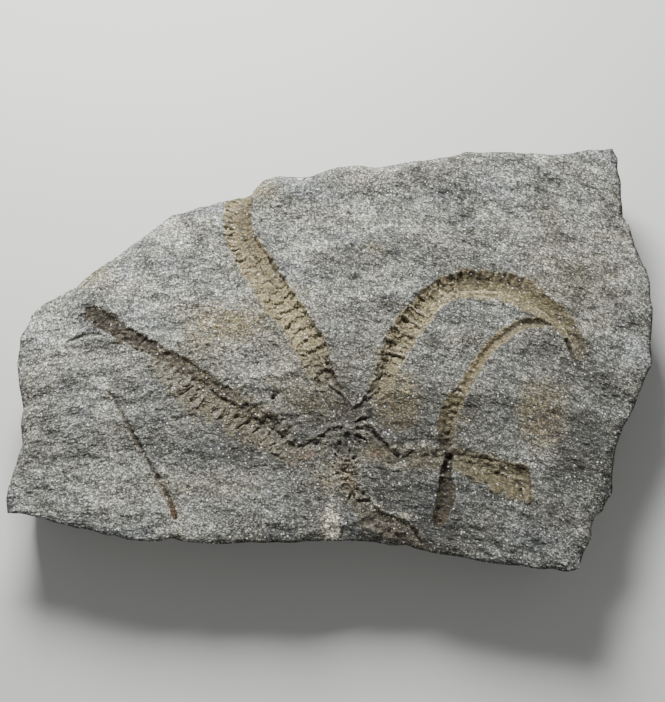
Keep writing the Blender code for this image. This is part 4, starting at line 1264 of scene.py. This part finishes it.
    def worn_rim(self, x: Array, y: Array, gap: Array) -> Array:
        """Drop of the rounded rim: a parabola down to the rim, wider and deeper where it is worn.

        Args:
            x: Places across.
            y: Places along.
            gap: Distance of each place from the rim.

        Returns:
            One drop for each place.
        """
        width, drop = (np.full_like(x, value) for value in self.rim_default)
        for worn_x, worn_y, reach, worn_width, worn_drop in self.worn_rims:
            weight = np.exp(-((x - worn_x) ** 2 + (y - worn_y) ** 2) / reach**2)
            width += (worn_width - self.rim_default[0]) * weight
            drop += (worn_drop - self.rim_default[1]) * weight
        width *= 1 + self.rim_stray.at(x, y)
        return drop * np.clip(1 - gap / width, 0, 1) ** 2

    def stone(self, x: Array, y: Array) -> Array:
        """Relief of the bare stone: flakes, splits that step down, hollows, and torn ripples of the bedding.

        Args:
            x: Places across.
            y: Places along.

        Returns:
            One height for each place, above or below the broad swells.
        """
        bend = self.flake_bend.at(x, y)
        across, along = x + self.flake_lean * y + bend, y - self.flake_lean * x + bend
        bedded = y + BEDDING_LEAN * x + BEDDING_BEND * x**2
        split = self.splits.at(across, along)
        steps = self.split_step * (np.floor(split) + smooth_step(split % 1, self.split_flat, 1.0) - split)
        torn = (1 + self.tearing.at(x, y)) * (1 - self.front_calm * smooth_step(-y, 0, self.front_run))
        height = self.flakes.at(across, along) + steps + self.hollows.at(x, bedded)
        return height + torn * self.ripples.at(x, bedded) + self.grit.at(across, along)

    def face(self, x: Array, y: Array, gap: Array) -> tuple[Array, Relief, Array]:
        """The face's heights and what covers it.

        Args:
            x: Places across.
            y: Places along.
            gap: Distance of each place from the rim.

        Returns:
            Heights above the back, the mould's relief, and as columns the stains, the pale patches that are
            painted highlights in places, and the darker and paler patches that are painted shade in places.
        """
        relief = Relief.none(len(x))
        for mould in self.moulds:
            near = mould.near(x, y)
            relief.deepen(near, mould.relief(x[near], y[near]))
            LOG.info("%s: %d places", mould.name, near.sum())
        calm = 1 - self.lined_calm * np.clip(relief.tan + relief.brown, 0, 1)
        height = self.level + self.swells.at(x, y) + self.stone(x, y) * calm - relief.depth
        stains = np.zeros((len(x), len(StainAndPaintedLight)))
        # Each break lowers the face and lays brown at its foot, partly painted shade, and a pale lip, partly
        # a painted highlight.
        for scarp in SCARPS:
            near, depth, brown, pale = scarp.cut(x, y)
            height[near] -= depth
            relief.brown[near] = np.maximum(relief.brown[near], brown)
            stains[near, StainAndPaintedLight.CREAM_AND_PAINTED_HIGHLIGHT.value] = np.maximum(stains[near, StainAndPaintedLight.CREAM_AND_PAINTED_HIGHLIGHT.value], pale)
        for bump in CRUMBLES + KNOBS:
            height += bump.lift(x, y)
        height -= self.worn_rim(x, y, gap)
        for stain, patches in PATCHES.items():
            for patch in patches:
                stains[:, stain.value] += patch.cover(x, y)
        return height, relief, stains

    def drawn_in(self, x: Array, y: Array, share: float) -> Array:
        """Plan places of the rim, drawn in towards the slab's middle under the face.

        Args:
            x: The rim's places across.
            y: Its places along.
            share: How far down the sides the places are, from 0 at the rim to 1.

        Returns:
            Rows of x and y.
        """
        side, back, front = self.undercuts
        reach_x, middle_x = np.ptp(x) / 2, (x.max() + x.min()) / 2
        reach_y, middle_y = np.ptp(y) / 2, (y.max() + y.min()) / 2
        inset_y = np.where(y < middle_y, front, back)
        run = share**self.undercut_curve
        x = x - run * side * (x - middle_x) / reach_x
        return np.column_stack([x, y - run * inset_y * (y - middle_y) / reach_y])

    def side_rings(self, rim: Array) -> list[Array]:
        """Points of the broken sides, ring under ring: the rim drawn in, broken by facets, beds and hackles.

        Args:
            rim: Rows of x, y and z, anticlockwise.

        Returns:
            One array of points for each level, the last of them on the back.
        """
        reach = self.rim_reach
        loop = np.concatenate([rim[-reach:], rim, rim[:reach]])
        tangent = loop[2 * reach:, :2] - loop[:-2 * reach, :2]
        inward = np.column_stack([-tangent[:, 1], tangent[:, 0]]) / np.hypot(*tangent.T)[:, None]
        x, y, top = rim.T
        rings = []
        whole = (self.level + self.saw_depth) / self.level
        for level in range(1, self.side_levels + 1):
            down = level / self.side_levels
            share = down / whole
            z = top * (1 - down)
            facets = self.facets.at(x + z, y - z) + self.facet_depth
            inset = facets + self.beds.at(x - y, z) + self.side_tears.at(x - y, z)
            inset *= min(1, share / self.broken_run)
            rings.append(np.column_stack([self.drawn_in(x, y, share) + inset[:, None] * inward, z]))
        return rings

    def walls(self, first: int, rim: Array) -> tuple[Array, Array]:
        """Polygons of the sides and of the back: quads from ring to ring, and one polygon across the last.

        Args:
            first: Number of the first point below the face.
            rim: Numbers of the face's rim points, anticlockwise.

        Returns:
            The polygons' point numbers in one run, and how many points each polygon has.
        """
        corners, upper = [], rim
        for level in range(self.side_levels):
            lower = first + level * len(rim) + np.arange(len(rim))
            quads = [lower, np.roll(lower, -1), np.roll(upper, -1), upper]
            corners.append(np.stack(quads, axis=1).ravel())
            upper = lower
        counts = np.concatenate([np.full(self.side_levels * len(rim), 4), [len(rim)]])
        return np.concatenate(corners + [upper[::-1]]), counts

    def build(self) -> bpy.types.Object:
        """Makes the slab's closed mesh, with its linings, stains, painted highlights and painted shade as
        attributes.

        Returns:
            The slab's object, at the origin.
        """
        grid_x, grid_y = self.face_grid()
        x, y = grid_x.ravel(), grid_y.ravel()
        number = np.arange(len(x)).reshape(grid_x.shape)
        rim = self.rim_order(number)
        outline = np.column_stack([x[rim], y[rim]])
        gap = np.abs(nearest_on_path(np.vstack([outline, outline[:1]])[::self.rim_step], x, y)[1])
        height, relief, stains = self.face(x, y, gap)
        # Shares by which the material paints shade into creases and highlights onto proud edges.
        crease_shade, edge = self.shade_and_highlight_shares(height.reshape(number.shape))

        # The points that the face needs, and their new numbers.
        lined = relief.tan + relief.brown > self.fine_lining
        fine = (lined | (relief.depth > self.fine_depth)).reshape(number.shape)
        split = np.lib.stride_tricks.sliding_window_view(fine, (3, 3))[::2, ::2].any(axis=(2, 3))
        face_corners, face_counts = self.face_cells(number, split)
        used = np.zeros(len(x), bool)
        used[face_corners] = True
        renumbered = np.cumsum(used) - 1
        rim = renumbered[rim[used[rim]]]

        face = np.column_stack([x, y, height])[used]
        points = np.concatenate([face] + self.side_rings(face[rim]))
        middle = (points[:, :2].min(axis=0) + points[:, :2].max(axis=0)) / 2
        points[:, :2] -= middle
        corners, counts = self.walls(len(face), rim)
        corners = np.concatenate([renumbered[face_corners], corners])
        counts = np.concatenate([face_counts, counts])
        mesh = self.mesh_of(points * MM, corners, counts)
        self.attribute(mesh, "lining", [part[used] for part in (relief.tan, relief.brown, relief.olive)])
        self.attribute(mesh, "stain", list(stains[used, :3].T))
        # The third attribute holds the shares of painted shade in creases and of painted highlight on edges,
        # and the darker and paler patches, some of them painted shade.
        self.attribute(mesh, "painted_shade_highlight_and_dark", [crease_shade[used], edge[used], stains[used, StainAndPaintedLight.DARK_AND_PAINTED_SHADE.value]])
        slab = bpy.data.objects.new("sandstone_slab", mesh)
        bpy.context.scene.collection.objects.link(slab)
        LOG.info("slab: %d points, %d triangles", len(points), (counts - 2).sum())
        self.mouth = Vector((-middle[0] * MM, -middle[1] * MM, self.level * MM))
        return slab

    @staticmethod
    def shade_and_highlight_shares(height: Array, least: float = 0.1 / 6, most: float = 0.1) -> tuple[Array, Array]:
        """How deep each place lies in a crease, and how proud it stands on an edge, both from 0 to 1.

        The height less the mean height of the nine points around it. Small differences don't count. The
        material paints shade into the creases and highlights onto the edges by these shares.

        Args:
            height: Heights on the grid.
            least: Difference up to which the shares are 0.
            most: Difference from which they are 1.

        Returns:
            The two shares, flat.
        """
        squares = np.lib.stride_tricks.sliding_window_view(np.pad(height, 1, mode="edge"), (3, 3))
        proud = (height - squares.mean(axis=(2, 3))).ravel()
        return tuple(np.clip((side * proud - least) / (most - least), 0, 1) for side in (-1, 1))

    @staticmethod
    def mesh_of(points: Array, corners: Array, counts: Array) -> bpy.types.Mesh:
        """Makes a smoothly shaded mesh.

        Args:
            points: Rows of x, y and z, in metres.
            corners: The polygons' point numbers in one run.
            counts: How many points each polygon has.

        Returns:
            The mesh.
        """
        mesh = bpy.data.meshes.new("sandstone_slab")
        mesh.vertices.add(len(points))
        mesh.vertices.foreach_set("co", points.ravel())
        mesh.loops.add(len(corners))
        mesh.loops.foreach_set("vertex_index", corners)
        mesh.polygons.add(len(counts))
        mesh.polygons.foreach_set("loop_start", np.cumsum(counts) - counts)
        mesh.update(calc_edges=True)
        mesh.shade_smooth()
        return mesh

    @staticmethod
    def attribute(mesh: bpy.types.Mesh, name: str, parts: list[Array]) -> None:
        """Stores three numbers for each point of the face as a colour, and nothing for the points below it.

        Args:
            mesh: The slab's mesh, whose first points are the face's.
            name: The attribute's name.
            parts: One array for each number.
        """
        values = np.tile([0, 0, 0, 1], (len(mesh.vertices), 1)).astype(np.float32)
        values[:len(parts[0]), :3] = np.column_stack(parts)
        mesh.attributes.new(name, "FLOAT_COLOR", "POINT").data.foreach_set("color", values.ravel())


# --- Finishes ---


def linear(hex_colour: str) -> Colour:
    """The linear colour of an sRGB hex value such as "#8A8C8E".

    Args:
        hex_colour: The value, with its hash sign.

    Returns:
        Red, green and blue, and 1 for the alpha.
    """
    parts = [int(hex_colour[start:start + 2], 16) / 255 for start in (1, 3, 5)]
    turned = [part / 12.92 if part <= 0.04045 else ((part + 0.055) / 1.055) ** 2.4 for part in parts]
    return (turned[0], turned[1], turned[2], 1.0)


class NodeKit:
    """Adds nodes to one material's tree, and holds the places that its textures share.

    Attributes:
        material: The material.
        place: The socket of the surface's places on the object.
        bedded: The same places, moved along y so that the stone's bent bedding runs straight.
    """

    def __init__(self, name: str) -> None:
        """Makes the material with an empty tree, and the sockets of its places.

        Args:
            name: The material's name.
        """
        self.material = bpy.data.materials.new(name)
        self.material.use_nodes = True
        self.tree = self.material.node_tree
        self.tree.nodes.clear()
        self.place = self.add("TexCoord")["Object"]
        x, y, z = self.add("SeparateXYZ", (self.place,))
        slope = self.add("Math", (x, BEDDING_BEND / MM, BEDDING_LEAN), operation="MULTIPLY_ADD")[0]
        across = self.add("Math", (slope, x, y), operation="MULTIPLY_ADD")[0]
        self.bedded = self.add("CombineXYZ", (x, across, z))[0]

    def add(self, kind: str, inputs: Inputs = (), stops: tuple[Stop, ...] = (), **settings: str) -> Outputs:
        """Adds one node with its settings, its inputs and, on a colour ramp, its stops.

        Args:
            kind: The node's type name, without ShaderNode.
            inputs: Values, or the sockets that feed them: in the node's order, or by socket name or number.
            stops: Pairs of a position and a linear colour.
            **settings: Properties of the node.

        Returns:
            The new node's output sockets.
        """
        node = self.tree.nodes.new("ShaderNode" + kind)
        for name, value in settings.items():
            setattr(node, name, value)
        for name, value in inputs.items() if isinstance(inputs, dict) else enumerate(inputs):
            if isinstance(value, bpy.types.NodeSocket):
                self.tree.links.new(value, node.inputs[name])
            else:
                node.inputs[name].default_value = value
        for number, (position, colour) in enumerate(stops):
            elements = node.color_ramp.elements
            element = elements[number] if number < len(elements) else elements.new(position)
            element.position = position
            element.color = colour
        return node.outputs

    def along_bedding(self, kind: str, long: float, wide: float, **inputs: float) -> Outputs:
        """Adds a texture that is laid along the stone's bent bedding.

        Args:
            kind: The texture's type name, without ShaderNode.
            long: Length of its lumps or cells, in millimetres.
            wide: Their width.
            **inputs: Further inputs of the texture.

        Returns:
            The texture's output sockets.
        """
        scale = (1 / (long * MM), 1 / (wide * MM), 1 / (wide * MM))
        places = self.add("Mapping", {"Vector": self.bedded, "Scale": scale})[0]
        return self.add(kind, {"Vector": places, "Scale": 1.0, **inputs})

    def product(self, start: Value, *steps: tuple[Value, ...]) -> Socket:
        """Multiplies a number by patterns in turn, each of them held at both ends.

        Args:
            start: The number that is multiplied.
            *steps: A pattern, its low and high values and the factors there, 0 and 1 where not given.

        Returns:
            The product's socket.
        """
        product = start
        for step in steps:
            product = self.add("Math", (product, self.add("MapRange", step)[0]), operation="MULTIPLY")[0]
        return product

    def covered(self, under: Value, colour: Value, *pattern: Value) -> Socket:
        """Covers one colour with another, as far as a pattern says.

        Args:
            under: The colour below.
            colour: The colour above.
            *pattern: The pattern, its low and high values and the cover there, 0 and 1 where not given.

        Returns:
            The new colour's socket.
        """
        cover = self.add("MapRange", pattern)[0]
        return self.add("Mix", {0: cover, 6: under, 7: colour}, data_type="RGBA")[2]

    def shaded(self, colour: Value, shade: Value) -> Socket:
        """Multiplies a colour by a shade that leaves it as it is where it is 1.

        Args:
            colour: The colour.
            shade: The shade.

        Returns:
            The new colour's socket.
        """
        grey = self.add("CombineColor", (shade, shade, shade))[0]
        return self.add("Mix", {0: 1.0, 6: colour, 7: grey}, data_type="RGBA", blend_type="MULTIPLY")[2]

    def attribute(self, name: str) -> Outputs:
        """The three number sockets of one of the mesh's attributes."""
        return self.add("SeparateColor", (self.add("Attribute", attribute_name=name)["Color"],))


@dataclass(frozen=True)
class Pattern:
    """A noise of the stone: its lumps' length and width in millimetres, and how much finer noise it holds."""

    long: float
    wide: float
    detail: float = 2.0
    roughness: float = 0.5

    def lay(self, kit: NodeKit) -> Socket:
        """Adds the noise along the bedding, and gives its number socket."""
        more = {"Detail": self.detail, "Roughness": self.roughness}
        return kit.along_bedding("TexNoise", self.long, self.wide, **more)["Fac"]


@dataclass(frozen=True)
class BrokenSandstone:
    """Fine-grained greywacke, broken open and dry: matt grey with pale and dark sand grains and mica glints.

    The hollows carry the tan and brown iron lining that ground water left, and the face has ochre stains.
    Shade is painted into creases, pits and the ripples' streaks, under some breaks and knobs and in one
    hollow, and highlights onto proud edges, the lips of breaks and the mica. A pair of shades is what the
    colour is multiplied by where a pattern is low and where it is high.
    """

    blue_grey: str = "#767A79"
    warm_grey: str = "#7E7C6E"
    sand: str = "#A39F92"
    quartz: str = "#C9C8C0"
    # Colour of the painted glints on mica.
    glint: str = "#F6F7F4"
    tan: str = "#A6946A"
    dark_tan: str = "#645A44"
    pale_tan: str = "#CDBF99"
    olive: str = "#8B8362"
    brown: str = "#4E4332"
    dark_brown: str = "#221D15"
    ochre: str = "#8E8260"
    rust: str = "#83603F"
    cream_and_painted_highlight: str = "#DDD6C0"

    # One sand grain, along the bedding and across it. The real ones are finer: these are drawn as coarse as
    # they need to be to show.
    grain_mm: Span = (0.38, 0.3)
    speck_mm: float = 0.5  # one of the larger quartz and mica grains, or the pit that one left
    # Which of these are quartz, pits and mica: the random numbers from which they show faintly and fully, and
    # the distance from their middle at which they are full. The pits get painted shade and the mica painted
    # glints.
    quartz_grains: Station = (0.8, 0.95, 0.2)
    pit_painted_shade_grains: Station = (0.86, 0.95, 0.2)
    mica_painted_glint_grains: Station = (0.963, 0.977, 0.22)
    hackle: Pattern = Pattern(0.95, 0.52, 2.0, 0.6)  # torn ridges, a few grains long
    clump: Pattern = Pattern(1.3, 1.0, 3.0, 0.6)  # grains that broke away together
    stroke: Pattern = Pattern(3.6, 1.2, 2.0, 0.5)  # ripples of the break
    flake: Pattern = Pattern(4.6, 2.4, 2.5, 0.5)  # small flakes
    tone: Pattern = Pattern(13.0, 8.5, 3.0, 0.55)  # darker and paler ground
    cloud: Pattern = Pattern(17.0, 11.0, 2.0, 0.5)  # bluer and warmer ground

    grain_edge: Span = (1.7, 0.52)  # shades from a grain's middle to its edge
    grain_shades: Span = (0.46, 2.42)  # of the darkest and of the palest grain
    grain_sharing: float = 2.5  # the higher, the fewer grains are pale
    hackle_shades: Span = (0.56, 1.44)
    flake_shades: Span = (0.6, 1.4)
    # Painted shade in creases and painted highlight on proud edges, by the face's relief.
    crease_painted_shades: Span = (1.0, 0.66)
    edge_painted_highlights: Span = (1.0, 1.5)
    tone_shades: Span = (0.68, 1.32)
    # Painted shade along the streaks of the bedding's torn ripples.
    ripple_painted_shades: Span = (1.05, 0.66)
    lining_shades: Span = (0.54, 1.66)
    # Factors of the darker and paler patches, some of which are painted shade.
    dark_and_painted_shade_factors: Span = (1.66, 0.34)  # of the palest and of the darkest patch
    roughness: float = 0.86
    glint_roughness: float = 0.35
    ior: float = 1.54  # quartz
    relief_mm: float = 0.4  # height of the relief that is finer than the mesh
    relief_shares: Station = (0.3, 3.0, 0.4, -0.5, 0.25)  # of hackles, flakes, clumps, ripples and grains

    def build(self) -> bpy.types.Material:
        """Makes the material: the bare stone, the lining of the hollows, the stains, the glints, fine relief.

        Returns:
            The material.
        """
        kit = NodeKit("broken_greywacke_sandstone")
        hackle, clump, stroke, flake, tone, cloud = (
            pattern.lay(kit)
            for pattern in (self.hackle, self.clump, self.stroke, self.flake, self.tone, self.cloud))
        grain = kit.along_bedding("TexVoronoi", *self.grain_mm)
        grain_height, sandy, _ = kit.add("SeparateColor", (grain["Color"],))
        paleness = kit.add("Math", (grain_height, self.grain_sharing), operation="POWER")[0]
        tan_cover, brown_cover, olive_cover = kit.attribute("lining")
        crease_shade, edge, dark = kit.attribute("painted_shade_highlight_and_dark")
        speck = kit.add("TexVoronoi", {"Vector": kit.place, "Scale": 1 / (self.speck_mm * MM)})
        kinds = (self.quartz_grains, self.pit_painted_shade_grains, self.mica_painted_glint_grains)
        quartz, pit, mica = (
            kit.product(1.0, (chance, low, high), (speck["Distance"], 0.5, heart))
            for chance, (low, high, heart) in zip(kit.add("SeparateColor", (speck["Color"],)), kinds))

        # Bare stone: two greys in clouds, sand, and each grain with its own shade; darker and paler flakes
        # and ground; painted shade in creases and along the ripples' streaks, and painted highlight on proud
        # edges. Then pale quartz grains, and painted shade in the pits.
        fine = kit.product(
            1.0, (grain["Distance"], 0.1, 0.7, *self.grain_edge), (paleness, 0.0, 1.0, *self.grain_shades),
            (hackle, 0.3, 0.7, *self.hackle_shades))
        # Where the bedding's torn ripples are: the stone is darkened there as painted shade of their small
        # steps, and the fine relief uses the same pattern.
        rippled = kit.product(1.0, (tone, 0.6, 0.4), (stroke, 0.48, 0.68))
        shade = kit.product(
            fine, (flake, 0.3, 0.7, *self.flake_shades), (crease_shade, 0.0, 1.0, *self.crease_painted_shades),
            (edge, 0.0, 1.0, *self.edge_painted_highlights), (tone, 0.35, 0.65, *self.tone_shades),
            (rippled, 0.0, 1.0, *self.ripple_painted_shades))
        stone = kit.covered(linear(self.blue_grey), linear(self.warm_grey), cloud, 0.3, 0.8)
        stone = kit.shaded(kit.covered(stone, linear(self.sand), sandy, 0.7, 0.9, 0.0, 0.35), shade)
        stone = kit.covered(stone, linear(self.quartz), quartz, 0.0, 1.0, 0.0, 0.7)
        # Painted shade in the pits that grains left.
        stone = kit.covered(stone, linear(self.dark_brown), pit, 0.0, 1.0, 0.0, 0.5)

        # Lining of the hollows.
        stops = ((0.3, linear(self.dark_tan)), (0.5, linear(self.tan)), (0.75, linear(self.pale_tan)))
        tan = kit.add("ValToRGB", (clump,), stops)["Color"]
        tan = kit.covered(tan, linear(self.olive), olive_cover, 0.0, 1.0, 0.0, 0.75)
        # Painted highlight on the lining's proud edges.
        tan = kit.covered(tan, linear(self.pale_tan), edge, 0.0, 1.0, 0.0, 0.7)
        tan = kit.shaded(tan, kit.add("MapRange", (fine, 0.3, 2.1, *self.lining_shades))[0])
        brown = kit.shaded(kit.covered(linear(self.dark_brown), linear(self.brown), clump, 0.35, 0.7), fine)
        surface = kit.covered(stone, tan, kit.product(tan_cover, (clump, 0.25, 0.5, 0.55, 1.0)))
        surface = kit.covered(surface, brown, kit.product(brown_cover, (clump, 0.25, 0.75, 1.0, 0.75)))
        lined = kit.add("Math", (tan_cover, brown_cover), operation="MAXIMUM")[0]
        # Dark brown in the lining's creases: partly the iron lining, partly painted shade.
        crease_brown_and_shade = kit.product(crease_shade, (lined, 0.0, 1.0, 0.0, 0.8))
        surface = kit.covered(surface, linear(self.dark_brown), crease_brown_and_shade)

        # Stains of the face, broken up by the clumps. The pale ones include painted highlights along the lips
        # of breaks and the mouth's rims.
        broken = kit.add("Math", (clump, hackle), operation="ADD")[0]
        for stain, colour in zip(kit.attribute("stain"), (self.ochre, self.rust, self.cream_and_painted_highlight)):
            cover = kit.product(stain, (broken, 0.7, 1.15))
            surface = kit.covered(surface, kit.shaded(linear(colour), fine), cover)
        # Darker and paler patches: painted shade in a pit, a hollow and under knobs, and darker and paler
        # ground elsewhere.
        surface = kit.shaded(surface, kit.add("MapRange", (dark, -0.8, 0.8, *self.dark_and_painted_shade_factors))[0])

        # Painted glints: a near-white colour on a few large mica grains, which are also glossier; and the
        # relief that is finer than the mesh.
        surface = kit.covered(surface, linear(self.glint), mica)
        gloss = kit.add("MapRange", (mica, 0.0, 1.0, self.roughness, self.glint_roughness))[0]
        height = 0.0
        for pattern, share in zip((hackle, flake, clump, rippled, grain_height), self.relief_shares):
            height = kit.add("Math", (pattern, share, height), operation="MULTIPLY_ADD")[0]
        bump = kit.add("Bump", {"Height": height, "Strength": 1.0, "Distance": self.relief_mm * MM})[0]
        shader = kit.add("BsdfPrincipled", {
            "Base Color": surface, "Roughness": gloss, "Normal": bump, "IOR": self.ior,
        })
        kit.add("OutputMaterial", {"Surface": shader["BSDF"]})
        return kit.material


@dataclass(frozen=True)
class PaleBoard:
    """Matt pale paper board under the slab: even, without a sheen."""

    colour: str = "#D9D9D6"
    roughness: float = 0.9

    def build(self) -> bpy.types.Material:
        """Makes the board's plain material.

        Returns:
            The material.
        """
        material = bpy.data.materials.new("pale_matt_board")
        material.use_nodes = True
        shader = material.node_tree.nodes["Principled BSDF"]
        shader.inputs["Base Color"].default_value = linear(self.colour)
        shader.inputs["Roughness"].default_value = self.roughness
        return material


# --- Studio ---


@dataclass(frozen=True)
class SoftLight:
    """One square soft light that faces the slab.

    Attributes:
        name: Its name.
        place: Where it hangs, in metres.
        side: Length of its side, in metres.
        power: Its power in watts.
    """

    name: str
    place: tuple[float, float, float]
    side: float
    power: float

    def hang(self) -> None:
        """Makes the light and turns it to the middle of the frame."""
        lamp = bpy.data.lights.new(self.name, "AREA")
        lamp.size = self.side
        lamp.energy = self.power
        holder = bpy.data.objects.new(self.name, lamp)
        holder.location = self.place
        holder.rotation_euler = Vector(self.place).to_track_quat("Z", "Y").to_euler()
        bpy.context.scene.collection.objects.link(holder)


@dataclass(frozen=True)
class Studio:
    """Floor, lights and camera. The key light hangs behind the slab, so the arms' far walls are in shade.

    Attributes:
        elevation: How far the camera looks down, in degrees from level.
        lens: Focal length in millimetres.
        distance: From the camera to the point that it looks at, in metres.
        aim: That point, in millimetres from the mouth.
        floor_side: Length of the floor's side, in metres.
        key: The main light, behind the slab.
        fill: A weak light in front of it.
        surround: Strength of the even light from all sides.
    """

    elevation: float = 72.0
    lens: float = 85.0
    distance: float = 0.41438
    aim: tuple[float, float] = (-3.94, 20.19)
    floor_side: float = 6.0
    key: SoftLight = SoftLight("key", (-0.07, 0.26, 0.26), 0.15, 3.1)
    fill: SoftLight = SoftLight("fill", (0.5, -0.9, 1.1), 0.9, 1.5)
    surround: float = 0.2

    def floor(self) -> None:
        """Lays the pale board that the slab rests on."""
        half = self.floor_side / 2
        corners = [(-half, -half, 0), (half, -half, 0), (half, half, 0), (-half, half, 0)]
        mesh = bpy.data.meshes.new("floor")
        mesh.from_pydata(corners, [], [(0, 1, 2, 3)])
        mesh.materials.append(PaleBoard().build())
        board = bpy.data.objects.new("floor", mesh)
        bpy.context.scene.collection.objects.link(board)

    def lights(self) -> None:
        """Hangs both lights, and sets the soft light all round."""
        self.key.hang()
        self.fill.hang()
        world = bpy.data.worlds.new("studio")
        world.use_nodes = True
        background = world.node_tree.nodes["Background"]
        background.inputs["Color"].default_value = (1, 1, 1, 1)
        background.inputs["Strength"].default_value = self.surround
        bpy.context.scene.world = world

    def camera(self, mouth: Vector) -> None:
        """Looks down on the face from the front.

        Args:
            mouth: Place of the brittle star's mouth in the frame, in metres.
        """
        lens = bpy.data.cameras.new("camera")
        lens.lens = self.lens
        camera = bpy.data.objects.new("camera", lens)
        pitch = math.radians(self.elevation)
        away = Vector((0, -math.cos(pitch), math.sin(pitch)))
        aim = mouth + Vector((self.aim[0] * MM, self.aim[1] * MM, 0))
        camera.location = aim + away * self.distance
        camera.rotation_euler = away.to_track_quat("Z", "Y").to_euler()
        bpy.context.scene.collection.objects.link(camera)
        bpy.context.scene.camera = camera


def main() -> None:
    """Builds the slab, dresses it, and sets the studio round it."""
    logging.basicConfig(level=logging.INFO, format="%(name)s: %(message)s")
    slab = Slab()
    piece = slab.build()
    piece.data.materials.append(BrokenSandstone().build())
    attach(piece, "root")
    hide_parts(NODE)
    studio = Studio()
    studio.floor()
    studio.lights()
    studio.camera(slab.mouth)


if __name__ == "__main__":
    main()
